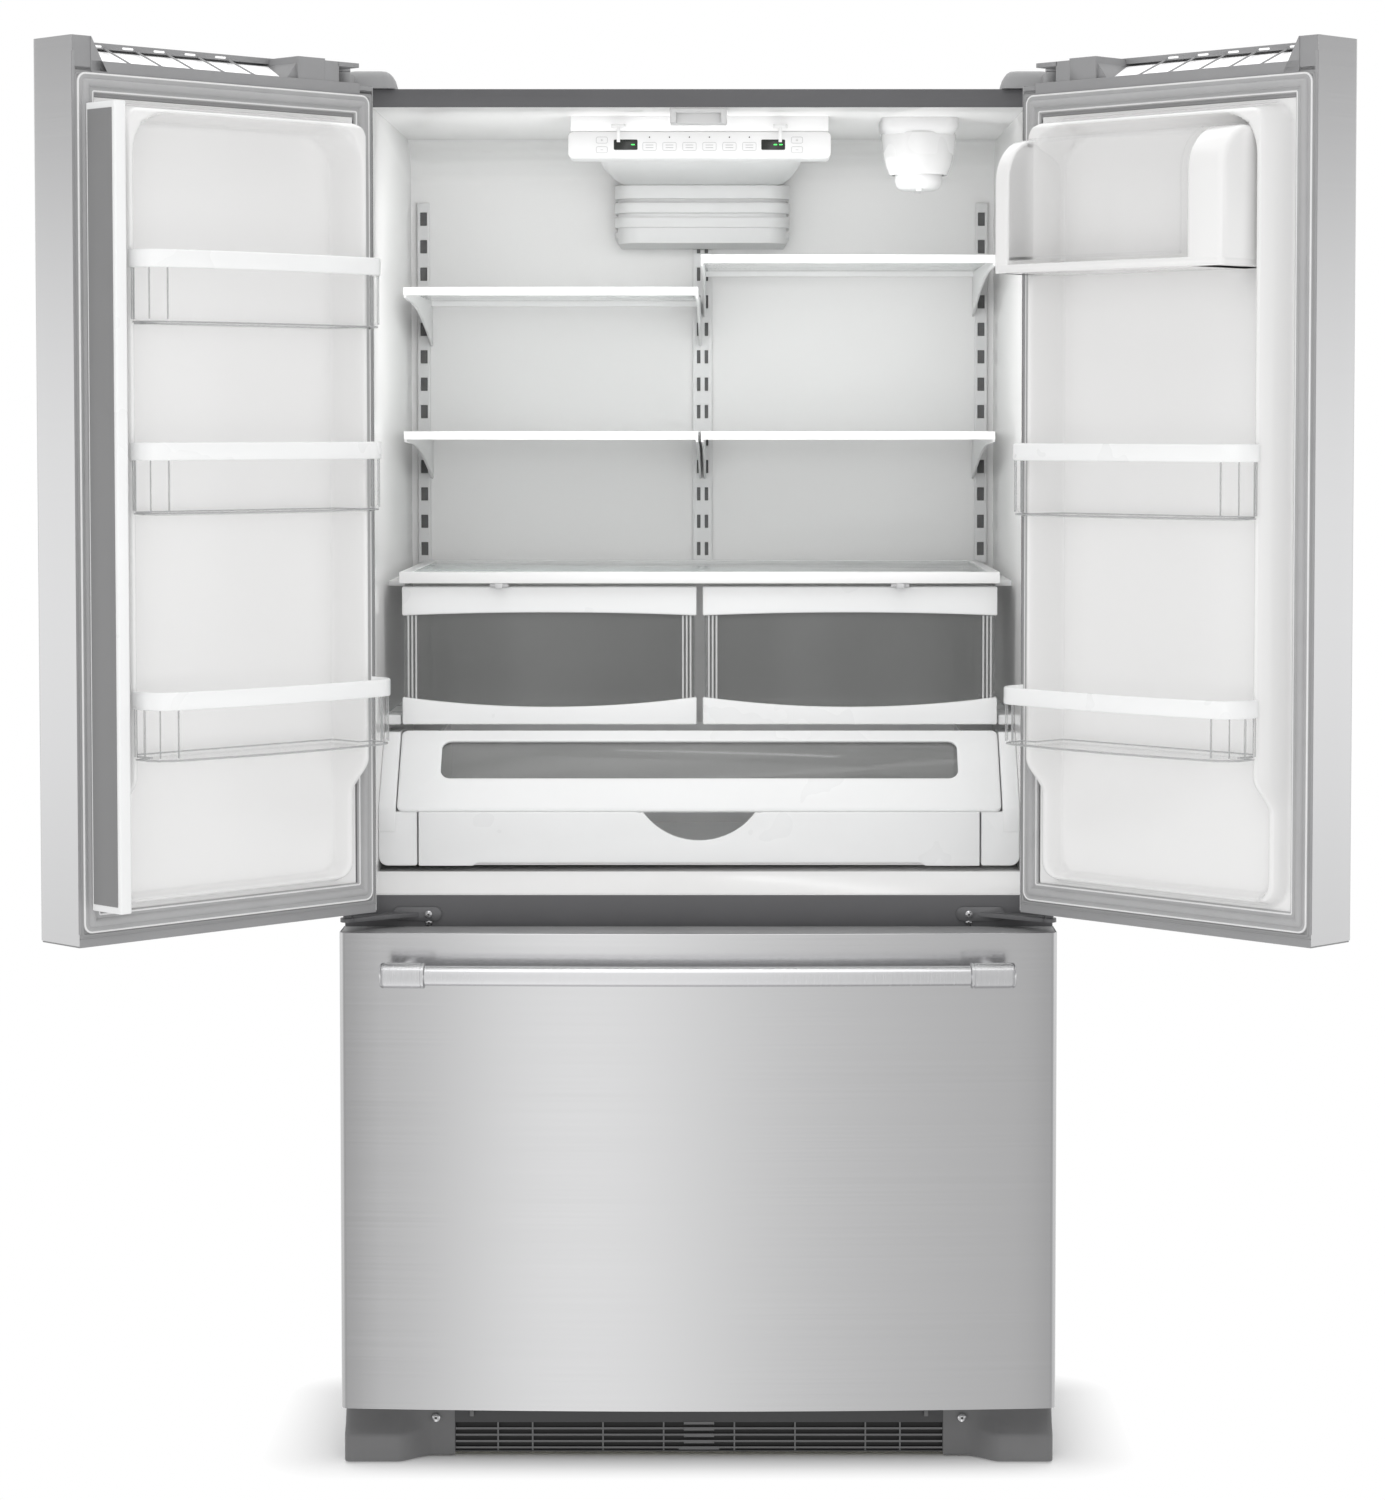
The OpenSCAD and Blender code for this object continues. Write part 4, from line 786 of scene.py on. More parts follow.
piece("dairy_walls", [dairy_wall(330, 385, 9), dairy_wall(36.5, 58, 4)], DOOR_RIGHT,
      MATERIALS["liner_white"], "door_right", smooth=50)
shelf_front = rounded([(37, INNER_FACE, 0), (385, INNER_FACE, 0), (385, DAIRY_FRONT + 0.4, 8),
                       (37, DAIRY_FRONT + 0.4, 6)])
piece("dairy_floor", [loft([at_height(shelf_front, z) for z in (DAIRY_FLOOR, DAIRY_FLOOR + 11)])],
      DOOR_RIGHT, MATERIALS["liner_white"], "door_right", bevel=2.5)


def cover_outline(t, r):
    """Side view of the clear cover's arch, from its lower front edge back over the top."""
    front = DAIRY_FRONT + 3 - t
    points = [(front, DAIRY_FLOOR + 15), (front, ARCH_Z)]
    points += [(ARCH_V + (r - t) * math.cos(a), ARCH_Z + (r - t) * math.sin(a))
               for a in [math.radians(76) * k / 16 for k in range(1, 17)]]
    return points


cover_u = (62.5, 327.0)
arch = cover_outline(0, 56) + cover_outline(2.5, 56)[::-1]
cheek = cover_outline(0.6, 56) + [(ARCH_V + 13, DAIRY_FLOOR + 15)]
cover_parts = [loft([at_side(arch, u) for u in (cover_u[0], cover_u[0] + 130, cover_u[1])])]
cover_parts += [loft([at_side(cheek, u) for u in pair]) for pair in
                ((cover_u[0] + 0.2, cover_u[0] + 2.7), (cover_u[1] - 2.7, cover_u[1] - 0.2))]
pivot = JOINTS["butter_cover_hinge"]["pos_m"]
for u in ((59, 65), (324.5, 333)):
    cover_parts.append(turned([(0, 2.5), (u[1] - u[0], 2.5)], (u[0], 112.0, pivot[2] / MM), (1, 0, 0), 16))
piece("butter_cover_clear", cover_parts, DOOR_RIGHT, MATERIALS["clear_plastic"], "butter_lid",
      ["butter_cover"], bevel=0.8, smooth=40)
lip = [(DAIRY_FRONT + 3.2, DAIRY_FLOOR + 15), (DAIRY_FRONT + 3.2, DAIRY_FLOOR + 19),
       (DAIRY_FRONT + 0.4, DAIRY_FLOOR + 19), (DAIRY_FRONT + 0.4, DAIRY_FLOOR + 15)]
piece("butter_cover_lip", [loft([at_side(lip, u) for u in (cover_u[0] + 1, cover_u[1] - 1)])], DOOR_RIGHT,
      MATERIALS["clear_plastic"], "butter_lid", bevel=0.6)

# ---------------------------------------------------------------- freezer drawer

FREEZER_Z = (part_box("freezer_skin")[0].z / MM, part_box("freezer_skin")[1].z / MM)
CASE_FRONT_EDGE = -74.0
freezer_back = -12.0
same = lambda x: x
freezer_outer = skin_path(-HALF_W, HALF_W, 0.0, same, CASE_FRONT_EDGE, freezer_back, 8.0)
freezer_inner = skin_path(-HALF_W, HALF_W, 1.2, same, CASE_FRONT_EDGE, freezer_back, 8.0)
freezer_levels = [FREEZER_Z[0], FREEZER_Z[0] + 150, FREEZER_Z[0] + 300, FREEZER_Z[1] - 150, FREEZER_Z[1]]
piece("freezer_steel_front", [shell(freezer_outer, freezer_inner, freezer_levels)], CABINET,
      MATERIALS["stainless"], "freezer_drawer", ["freezer_skin", "freezer_core"], bevel=0.4,
      angle=50, steps=1, smooth=30)
cap_plan = skin_path(-HALF_W, HALF_W, 1.25, same, CASE_FRONT_EDGE, freezer_back, 8.0)
for edge_name, z0, z1 in (("top", FREEZER_Z[1] - 6, FREEZER_Z[1] - 0.6), ("bottom", FREEZER_Z[0] + 0.6, FREEZER_Z[0] + 6)):
    piece(f"freezer_{edge_name}_cap", [loft([at_height(cap_plan, z0), at_height(cap_plan, z1)])], CABINET,
          CAP_GREY, "freezer_drawer", bevel=0.5)
insets = [(s, -12 + h * 1.2) for s, h in GASKET_PROFILE]
piece("freezer_seal", [loft(ring_path((-440, 440), (90, 678), insets, 12), loop=True)], CABINET,
      MATERIALS["gasket_grey"], "freezer_drawer", ["freezer_gasket"], smooth=50)


def freezer_handle():
    """A rail that follows the bulge of the front, with grooved ferrules on two posts."""
    bar_half, stand_off, z = 396.0, 50.0, (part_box("freezer_handle")[0].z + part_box("freezer_handle")[1].z) / 2 / MM
    rail_r = BULGE_R + stand_off
    centre_y = CASE_FRONT_EDGE - SKIN_BULGE + BULGE_R
    profile = bar_profile(bar_half, 57.0, 12.4, 15.9, (5.0, 52.0))
    spread_out = [p for a, b in zip(profile, profile[1:]) for p in
                  [(a[0] + (b[0] - a[0]) * k / (24 if b[0] - a[0] > 100 else 1),
                    a[1] + (b[1] - a[1]) * k / (24 if b[0] - a[0] > 100 else 1))
                   for k in range(24 if b[0] - a[0] > 100 else 1)]] + [profile[-1]]
    path, radii = [], []
    for along, r in spread_out:
        a = along / rail_r
        path.append((rail_r * math.sin(a), centre_y - rail_r * math.cos(a), z))
        radii.append(r)
    parts = [swept(path, radii, 40)]
    for side in (-1, 1):
        x = side * (bar_half - 28.5)
        y = centre_y - math.sqrt(rail_r ** 2 - x ** 2)
        gap = CASE_FRONT_EDGE - bulge(x) - y
        parts.append(turned([(0, 9.6), (gap - 8, 9.6), (gap - 2, 10), (gap + 0.2, 10)], (x, y, z), (0, 1, 0), 32))
    piece("freezer_rail_handle", parts, CABINET, MATERIALS["handle_steel"], "freezer_drawer",
          ["freezer_handle"], smooth=40)


freezer_handle()

# ---------------------------------------------------------------- crispers

CRISPER_Z = (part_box("crisper_left")[0].z / MM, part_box("crisper_left")[1].z / MM)
crisper_low, crisper_high = box_mm("crisper_right")
CRISPER_X = (crisper_low.x, crisper_high.x)
CRISPER_Y = (crisper_low.y, crisper_high.y)
WINDOW_TOP, WINDOW_DIP, WINDOW_LOW = 1078.0, 13.0, 956.0


def arched_band(x, base, top_of, low_of, y0, y1):
    """A band whose upper and lower edges are curves of x, closed front and back."""
    xs = [x[0] + (x[1] - x[0]) * k / 24 for k in range(25)]
    outline = [(a, low_of(a)) for a in xs] + [(a, top_of(a)) for a in reversed(xs)]
    return loft([at_depth(outline, y0), at_depth(outline, y1)])


def crisper(side, flip):
    place = Matrix.Diagonal((flip, 1, 1, 1)) @ CABINET
    body = f"crisper_drawer_{side}"
    x0, x1 = CRISPER_X
    middle, half = (x0 + x1) / 2, (x1 - x0) / 2
    z0, z1 = CRISPER_Z
    y0 = CRISPER_Y[0]
    top_low = lambda x: WINDOW_TOP - 2 + 4 * (1 - ((x - middle) / half) ** 2)
    bottom_high = lambda x: WINDOW_LOW + WINDOW_DIP * ((x - middle) / half) ** 2
    front = [arched_band((x0, x1), 0, lambda x: z1, top_low, y0, y0 + 12),
             arched_band((x0, x1), 0, bottom_high, lambda x: z0, y0, y0 + 12)]
    piece(f"crisper_{side}_bands", front, place, RIM_WHITE, body, [f"crisper_{side}"],
          bevel=2.2, steps=3, angle=40)
    turn = [math.pi / 2 * k / 5 for k in range(6)]
    tub = lambda t: rect(x0 + 6 + t, x1 - 6 - t, y0 + 12 + t, CRISPER_Y[1] - t, max(2, 16 - t))
    rings = [at_height(tub(8 * (1 - math.sin(a))), z0 + 8 * (1 - math.cos(a))) for a in turn]
    rings += [at_height(tub(0), z1 - 14), at_height(tub(2.5), z1 - 14)]
    rings += [at_height(tub(2.5 + 6 * (1 - math.sin(a))), z0 + 3 + 6 * (1 - math.cos(a))) for a in reversed(turn)]
    piece(f"crisper_{side}_tub", [loft(rings)], place, MATERIALS["clear_plastic"], body)
    pane = block((x0 + 3, x1 - 3), (y0 + 4, y0 + 7), (WINDOW_LOW - 4, WINDOW_TOP + 6))
    piece(f"crisper_{side}_window", [pane], place, SMOKY, body, bevel=0.8)
    # Ribs near both ends of the window, in frosted white: real ribs lightened as painted highlight lines.
    ribs = []
    for x in (x0 + 8, x0 + 13, x0 + 18, x1 - 8, x1 - 13, x1 - 18):
        ribs.append(swept([(x, y0 + 4, WINDOW_LOW + 4), (x, y0 + 4, WINDOW_TOP - 2)], 1.3, 10))
    piece(f"crisper_{side}_ribs", ribs, place, FROSTED_AND_PAINTED_HIGHLIGHT, body)


crisper("left", -1)
crisper("right", 1)

# ---------------------------------------------------------------- deli drawer and its visor

VISOR_LOW, VISOR_HIGH = (44.0, 829.0), (131.0, 925.5)
VISOR_HALF = 390.0
NOTCH_Z, NOTCH_R = 880.0, 90.0


def frame_plate(outer, inner, rings):
    """Rings of points from an outer outline in to a hole."""
    made = []
    for k in range(rings + 1):
        t = k / rings
        made.append([(a[0] + (b[0] - a[0]) * t, a[1] + (b[1] - a[1]) * t) for a, b in zip(outer, inner)])
    return made


def on_slope(s, x, lift):
    """A point on the visor: s up its slope from 0 to 1, lifted square to it."""
    run, rise = VISOR_HIGH[0] - VISOR_LOW[0], VISOR_HIGH[1] - VISOR_LOW[1]
    length = math.hypot(run, rise)
    crown = 5.0 * 4 * s * (1 - s)
    y = VISOR_LOW[0] + run * s - rise / length * (lift + crown)
    z = VISOR_LOW[1] + rise * s + run / length * (lift + crown)
    return (x, y, z)


def visor():
    slope = math.hypot(VISOR_HIGH[0] - VISOR_LOW[0], VISOR_HIGH[1] - VISOR_LOW[1])
    window = (-336.0, 336.0, 36 / 96.5 * slope, 82 / 96.5 * slope)
    steps = 7
    outer = rect(-VISOR_HALF, VISOR_HALF, 0, slope, 8, steps)
    inner = rect(*window, 13, steps)
    front = frame_plate(outer, inner, 12)
    rings = [[on_slope(s / slope, x, -5.0) for x, s in front[0]]]
    rings += [[on_slope(s / slope, x, -1.0) for x, s in front[0]]]
    rings += [[on_slope(s / slope, x, 0.0) for x, s in ring] for ring in
              [[(x * (1 - 1.2 / VISOR_HALF), 1.0 + s * (1 - 2.0 / slope)) for x, s in front[0]]] + front[1:-1]]
    rings += [[on_slope(s / slope, x, -0.4) for x, s in front[-1]], [on_slope(s / slope, x, -4.0) for x, s in front[-1]]]
    rings += [[on_slope(s / slope, x, -4.6) for x, s in ring] for ring in reversed(front[1:-1])]
    parts = [loft(rings, loop=True)]
    for side in (-1, 1):
        cheek = [(VISOR_LOW[0] + 8, 832), (VISOR_LOW[0] + 16, 832), (135, 908), (136, 920), (131, 924.5)]
        pair = sorted((side * 368.3, side * 372.0))
        parts.append(loft([at_side(cheek, x) for x in pair]))
    piece("deli_visor_shell", parts, CABINET, RIM_WHITE, "visor", ["deli_visor"], bevel=1.0,
          angle=50, smooth=40)
    pane_outer = rect(window[0] - 6, window[1] + 6, window[2] - 6, window[3] + 6, 14, steps)
    pane = [[on_slope(s / slope, x, lift) for x, s in pane_outer] for lift in (-7.0, -5.0)]
    piece("deli_visor_window", [loft(pane)], CABINET, SMOKY, "visor", bevel=0.5)


visor()


def deli_front():
    """Front panel of the wide drawer with its half-moon finger notch and stepped lower edge."""
    x1, z0, z1 = 362.0, 757.0, 827.0
    reach = math.sqrt(NOTCH_R ** 2 - (z1 - NOTCH_Z) ** 2)
    start = math.asin(reach / NOTCH_R)
    outline = [(-x1, z0), (-x1 + 70, z0), (-x1 + 76, z0 + 4), (x1 - 76, z0 + 4), (x1 - 70, z0), (x1, z0), (x1, z1)]
    shoulder = 10.0
    outline += [(reach + shoulder, z1), (reach + shoulder * 0.4, z1 - 1.2)]
    outline += [(NOTCH_R * math.sin(start - 2 * start * k / 20), NOTCH_Z - NOTCH_R * math.cos(start - 2 * start * k / 20))
                for k in range(21)]
    outline += [(-reach - shoulder * 0.4, z1 - 1.2), (-reach - shoulder, z1), (-x1, z1)]
    return loft([at_depth(outline, 44), at_depth(outline, 50)])


low, high = box_mm("deli_drawer")
tub_x, tub_y = 360.0, (52.0, 535.0)
side_view = [(tub_y[0], 757.5), (tub_y[1], 757.5), (tub_y[1], 904), (131, 904), (58, 828), (tub_y[0], 812)]
walls = []
for x in ((-tub_x, -tub_x + 3), (tub_x - 3, tub_x)):
    walls.append(loft([at_side(side_view, v) for v in x]))
walls.append(block((-tub_x + 1, tub_x - 1), (tub_y[1] - 3, tub_y[1]), (758, 904)))
walls.append(block((-tub_x + 1, tub_x - 1), tub_y, (757.3, 760.5)))
for side in (-1, 1):
    walls.append(block(sorted((side * 356, side * 364.8)), (132, 138), (860, 904)))
    ear = [(122, 872), (138, 872), (137.5, 910), (131, 914.2), (127, 911), (122, 905)]
    walls.append(loft([at_side(ear, v) for v in sorted((side * 364.9, side * 368.0))]))
piece("deli_tub", walls, CABINET, MATERIALS["white_plastic"], "deli_box", ["deli_drawer"],
      bevel=0.8)
piece("deli_front_panel", [deli_front()], CABINET, RIM_WHITE, "deli_box", bevel=1.6, steps=3,
      angle=40)

# ---------------------------------------------------------------- base trim

toe_low, toe_high = box_mm("toe_grille")
SLOT_HALF = 313.0
BAR_X = [side * x for x in (45.5, 123.5, 214, 258.5) for side in (-1, 1)]
SLOT_LOW, SLOT_HIGH = 7.5, 44.0
LOUVRE_Z = [36.3 - 8.3 * i for i in range(4)]
face = [block((toe_low.x, toe_high.x), (toe_low.y, toe_high.y), (SLOT_HIGH, toe_high.z)),
        block((toe_low.x, toe_high.x), (toe_low.y, toe_high.y), (toe_low.z, SLOT_LOW))]
for side in (-1, 1):
    face.append(block(sorted((side * SLOT_HALF, side * toe_high.x)), (toe_low.y, toe_high.y),
                      (SLOT_LOW - 1, SLOT_HIGH + 1)))


def louvre(z, half, front, lift):
    """A thin slat that falls towards the back."""
    side_view = [(front, z - lift), (front, z + lift), (toe_high.y, z + lift - 2), (toe_high.y, z - lift - 2)]
    return loft([at_side(side_view, x) for x in (-half, half)])


slats = [louvre(z, SLOT_HALF + 1, toe_low.y + 0.2, 1.1) for z in LOUVRE_Z]
slats += [louvre(z - 0.6, half, toe_low.y - 0.6, 2.0) for z, half in zip(LOUVRE_Z, (19.5, 19.5, 19.5, 26))]
slats += [louvre(SLOT_HIGH - 0.8, 19.5, toe_low.y - 0.6, 1.6)]
slats += [block((x - 1.0, x + 1.0), (toe_low.y + 0.4, toe_high.y), (SLOT_LOW - 1, SLOT_HIGH + 1)) for x in BAR_X]
piece("toe_grille_face", face, CABINET, MATERIALS["grille_grey"], "cabinet", ["toe_grille"],
      bevel=0.5, angle=40)
piece("toe_grille_slats", slats, CABINET, MATERIALS["foot_grey"], "cabinet", smooth=20)
piece("toe_grille_shadow", [block((-SLOT_HALF, SLOT_HALF), (toe_high.y - 0.5, toe_high.y + 0.3),
                                  (SLOT_LOW - 2, SLOT_HIGH + 2))],
      CABINET, VENT_DARK, "cabinet", bevel=0.1)

foot_low, foot_high = box_mm("foot_covers")
FOOT_INNER, FOOT_KNEE, FOOT_HOLLOW = 314.0, 386.0, 342.0


def foot_outline(front):
    """Plan of a foot cover: a box that sweeps back towards the grille."""
    sweep = []
    for k in range(13):
        t = k / 12
        sweep.append((FOOT_KNEE + (FOOT_HOLLOW - FOOT_KNEE) * t, front + (-5.6 - front) * smoothstep(t), 0))
    points = [(foot_high.x, -0.3, 0), (foot_high.x, front, 7)] + sweep
    points += [(FOOT_INNER, toe_low.y - 0.3, 0), (FOOT_INNER, -0.3, 0)]
    return rounded(points, 5)


FOOT_LEVELS = ((2.0, -37.0), (4.5, -39.5), (8, -40.0), (33, -40.0), (36.5, -39.2), (39.5, -36.5), (48, -28.0),
               (64, -20.0), (79, -16.0))
for side, flip in (("left", -1), ("right", 1)):
    place = Matrix.Diagonal((flip, 1, 1, 1)) @ CABINET
    rings = [at_height(foot_outline(front), z) for z, front in FOOT_LEVELS]
    piece(f"foot_cover_{side}", [loft(rings)], place, MATERIALS["foot_grey"], "cabinet",
          ["foot_covers"] if side == "left" else [], smooth=50)


def screw(x, y, z, r):
    """A domed screw head facing the front; its hexagon socket is a dark pad of painted shade drawn by socket()."""
    head = turned([(0, r), (0.6, r), (1.5, r * 0.82), (2.1, r * 0.5), (2.3, r * 0.42)], (x, y, z), (0, -1, 0), 24)
    return head


# A dark hexagon standing on the screw head: painted shade where the socket's recess would be.
def socket(x, y, z, r):
    return turned([(0, r * 0.36), (2.5, r * 0.36)], (x, y, z), (0, -1, 0), 6)


base_screws = [(side * 338.0, -8.6, 51.0, 5.4) for side in (-1, 1)]
rail_screws = [(side * 345.0, -7.0, 701.0, 4.6) for side in (-1, 1)]
rail_screws += [(side * 345.0, -2.0, 690.0, 4.2) for side in (-1, 1)]
pegs = [block((x - 2.6, x + 2.6), (toe_low.y - 3.0, toe_low.y + 1), (52.5, 60)) for x in (-292, 292)]
piece("toe_grille_pegs", pegs, CABINET, MATERIALS["foot_grey"], "cabinet", bevel=0.5)
piece("front_screws", [screw(*v) for v in base_screws + rail_screws], CABINET, SCREW_STEEL, "cabinet")
piece("front_screw_socket_shades", [socket(*v) for v in base_screws + rail_screws], CABINET, DARK_LED_AND_SOCKET_SHADE, "cabinet",
      smooth=20)

# ---------------------------------------------------------------- hinge covers on top

cover_low, cover_high = box_mm("hinge_covers")
pin_local = (abs(PIN.x) / MM, -55.0)
for side, flip in (("left", -1), ("right", 1)):
    place = Matrix.Diagonal((flip, 1, 1, 1)) @ CABINET
    hood = [at_height(rect(384 + a, 452 - a, -9 + a, 60 - a, max(2, 11 - a * 0.4)), z) for a, z in
            ((0, 1750.4), (0.8, 1756), (3.2, 1764), (6.5, 1769.5), (11, 1772.2), (16, 1773))]
    x, y = pin_local
    arm = [at_height(rounded([(x - 9 + a, 10, 0), (x - 9 + a, y - 9 + a, 8), (x + 9 - a, y - 9 + a, 8),
                              (x + 9 - a, 10, 0)]), z) for a, z in ((0, 1750.4), (0, 1763), (1, 1766), (4, 1767))]
    boss = turned([(0, 8.6), (4, 8.6), (5.4, 7.2), (6, 5)], (x, y, 1766.5), (0, 0, 1), 28)
    piece(f"hinge_cover_{side}", [loft(hood), loft(arm), boss], place, MATERIALS["cover_grey"], "cabinet",
          ["hinge_covers"] if side == "left" else [], smooth=45)

# ---------------------------------------------------------------- fittings on the ceiling and back wall

ceiling = box_mm("control_housing")[1].z
back_wall = box_mm("control_housing")[1].y
fascia_low, fascia_high = box_mm("control_panel")
body_box = loft([at_depth(rect(-171, 171, 1672, 1707, 7), y) for y in (fascia_high.y, 190)])
channel = [at_depth(rounded([(-h, ceiling, 0), (-h, low, 20), (h, low, 20), (h, ceiling, 0)]), y) for y, h, low in
           ((176, 139, 1676), (200, 139, 1674), (330, 135, 1664), (430, 129, 1661), (499, 123, 1661))]
louvres = []
for k, (z0, z1, y) in enumerate(((1642, 1661, 480), (1622, 1637, 481), (1602, 1617, 486), (1575, 1597, 497))):
    outline = rounded([(-123, back_wall, 0), (-123, y, 34), (123, y, 34), (123, back_wall, 0)], 8)
    if k == 3:
        tail = rounded([(-115, back_wall, 0), (-115, y + 24, 34), (115, y + 24, 34), (115, back_wall, 0)], 8)
        louvres.append(loft([at_height(tail, z0), at_height(outline, z0 + 13), at_height(outline, z1)]))
    else:
        louvres.append(loft([at_height(outline, z0), at_height(outline, z1)]))
core = rounded([(-119, back_wall, 0), (-119, 490, 32), (119, 490, 32), (119, back_wall, 0)], 8)
louvres.append(loft([at_height(core, 1580), at_height(core, 1655)]))
guide = [block((-36, 36), (22, 46), (1708, ceiling)), block((-36, -28), (8, 24), (1708, ceiling)),
         block((28, 36), (8, 24), (1708, ceiling)), block((-30, 30), (8, 24), (1721, ceiling))]
piece("control_body", [body_box], CABINET, FITTING_WHITE, "cabinet", ["control_housing"], bevel=2.5,
      steps=3, angle=50, smooth=45)
piece("air_channel", [loft(channel)], CABINET, FITTING_WHITE, "cabinet", bevel=1.0, smooth=45)
piece("air_diffuser", louvres, CABINET, FITTING_WHITE, "cabinet", bevel=2.0, steps=3, angle=50,
      smooth=45)
piece("mullion_guide", guide, CABINET, FITTING_WHITE, "cabinet", bevel=1.6, steps=3)

# Dark plates at the back of the ladders' slots: painted shade inside the slots.
slots = []
for x, half in ((-396, 4.95), (-5.5, 2.45), (5.5, 2.45), (396, 4.95)):
    for i in range(13):
        slots.append(block((x - half, x + half), (557.4, 558.4), (1140.2 + 39 * i, 1158.8 + 39 * i)))
piece("ladder_slot_shades", slots, CABINET, SLOT_PAINTED_SHADE, "cabinet", smooth=20)

runner_parts = []
for side in (-1, 1):
    outline = rounded([(364, 757, 3), (413.8, 757, 12), (413.8, 827, 3), (364, 827, 2)])
    outline = [(side * x, z) for x, z in outline]
    runner_parts.append(loft([at_depth(outline, y) for y in (46, 300, 545)]))
    cheek = [(45.4, 800), (45.4, 829), (50, 836), (128, 923), (190, 923), (190, 800)]
    runner_parts.append(loft([at_side(cheek, side * x) for x in (391.5, 413.9)]))
    runner_parts.append(block(sorted((side * 392.5, side * 413.8)), (140, 545), (932, 945)))
piece("drawer_side_guides", runner_parts, CABINET, RIM_WHITE, "cabinet", ["drawer_runners"],
      bevel=2.0, steps=3, angle=50)

# ---------------------------------------------------------------- control panel

panel_low, panel_high = box_mm("control_panel")
PANEL_FACE = panel_low.y
PANEL_Z = (panel_low.z, panel_high.z)
PANEL_HALF = panel_high.x
DISPLAY_X, DISPLAY_HALF, DISPLAY_Z = 96.0, 15.5, (1683.0, 1696.5)
base_plate = loft([at_depth(rect(-PANEL_HALF, PANEL_HALF, PANEL_Z[0], PANEL_Z[1], 7), y)
                   for y in (PANEL_FACE + 0.9, panel_high.y)])
piece("control_fascia", [base_plate], CABINET, MATERIALS["panel_white"], "cabinet",
      ["control_panel"], bevel=1.2, steps=3)
pads, outlines, leds = [], [], []
for k in range(6):
    x = (k - 2.5) * 26.0
    pads.append((x - 9.0, x + 9.0, 1682.0, 1693.0))
    leds.append((x, 1699.5))
for side in (-1, 1):
    for z in (1679.5, 1692.0):
        x = side * (DISPLAY_X + 31)
        pads.append((x - 7.5, x + 7.5, z - 0.5, z + 8.0))
for a, b, c, d in pads:
    outer = rect(a, b, c, d, 2.2, 3)
    inner = rect(a + 0.45, b - 0.45, c + 0.45, d - 0.45, 1.8, 3)
    rings = [at_depth(outer, PANEL_FACE + 0.95), at_depth(outer, PANEL_FACE + 0.62),
             at_depth(inner, PANEL_FACE + 0.62), at_depth(inner, PANEL_FACE + 0.95)]
    outlines.append(loft(rings, loop=True))
piece("control_pad_outlines", outlines, CABINET, LINE_GREY, "cabinet", smooth=30)
signs = []
for side in (-1, 1):
    x = side * (DISPLAY_X + 31)
    for z, vertical in ((1683.2, False), (1695.7, True)):
        signs.append(block((x - 1.6, x + 1.6), (PANEL_FACE + 0.55, PANEL_FACE + 0.95), (z - 0.25, z + 0.25)))
        if vertical:
            signs.append(block((x - 0.25, x + 0.25), (PANEL_FACE + 0.55, PANEL_FACE + 0.95), (z - 1.6, z + 1.6)))
for a, b, c, d in pads[:6]:
    for k in range(2):
        z = c + 3.6 + 3.4 * k
        signs.append(block((a + 4.0, b - 4.0), (PANEL_FACE + 0.6, PANEL_FACE + 0.95), (z, z + 0.7)))
piece("control_pad_marks", signs, CABINET, LINE_GREY, "cabinet", smooth=30)
dots = [turned([(0, 0.9), (0.5, 0.9), (0.8, 0.5)], (x, PANEL_FACE + 0.95, z), (0, -1, 0), 16) for x, z in leds]
piece("control_leds", dots, CABINET, DARK_LED_AND_SOCKET_SHADE, "cabinet", smooth=40)
glasses = []
for side in (-1, 1):
    x = side * DISPLAY_X
    outline = rect(x - DISPLAY_HALF, x + DISPLAY_HALF, DISPLAY_Z[0], DISPLAY_Z[1], 1.6, 4)
    glasses.append(loft([at_depth(outline, PANEL_FACE + 0.5), at_depth(outline, PANEL_FACE + 1.0)]))
piece("control_displays", glasses, CABINET, DISPLAY_BLACK, "cabinet", bevel=0.2, smooth=30)
DASH_Z, DASH_WIDTH = 1689.9, 4.6


def dash(x):
    """One lit dash with pointed ends, as a thin bar in front of the display."""
    half, tip, end = 0.55, 0.45, x + DASH_WIDTH
    outline = [(x, DASH_Z), (x + tip, DASH_Z - half), (end - tip, DASH_Z - half), (end, DASH_Z),
               (end - tip, DASH_Z + half), (x + tip, DASH_Z + half)]
    return loft([at_depth(outline, PANEL_FACE + y) for y in (0.3, 0.6)])


# A dash stands in for each figure of the photo, so no text is copied.
figures = [dash(x) for x in (-DISPLAY_X + 7.2, DISPLAY_X + 0.6, DISPLAY_X + 7.6)]
piece("control_figures", figures, CABINET, DIGIT_GREEN, "cabinet", smooth=20)

# ---------------------------------------------------------------- light switches

for side, x in (("left", -105.0), ("right", 105.0)):
    lever = [block((x - 2.2, x + 2.2), (112.3, 115.7), (1692, 1712)), block((x - 7.5, x + 7.5), (112.3, 117.5), (1710.4, 1715)),
             turned([(0, 2.4), (19, 2.4)], (x - 9.5, 118, 1713), (1, 0, 0), 20)]
    piece(f"light_switch_{side}_lever", lever, CABINET, FITTING_WHITE, f"switch_{side}",
          [f"light_switch_{side}"], bevel=0.7)

# ---------------------------------------------------------------- water filter

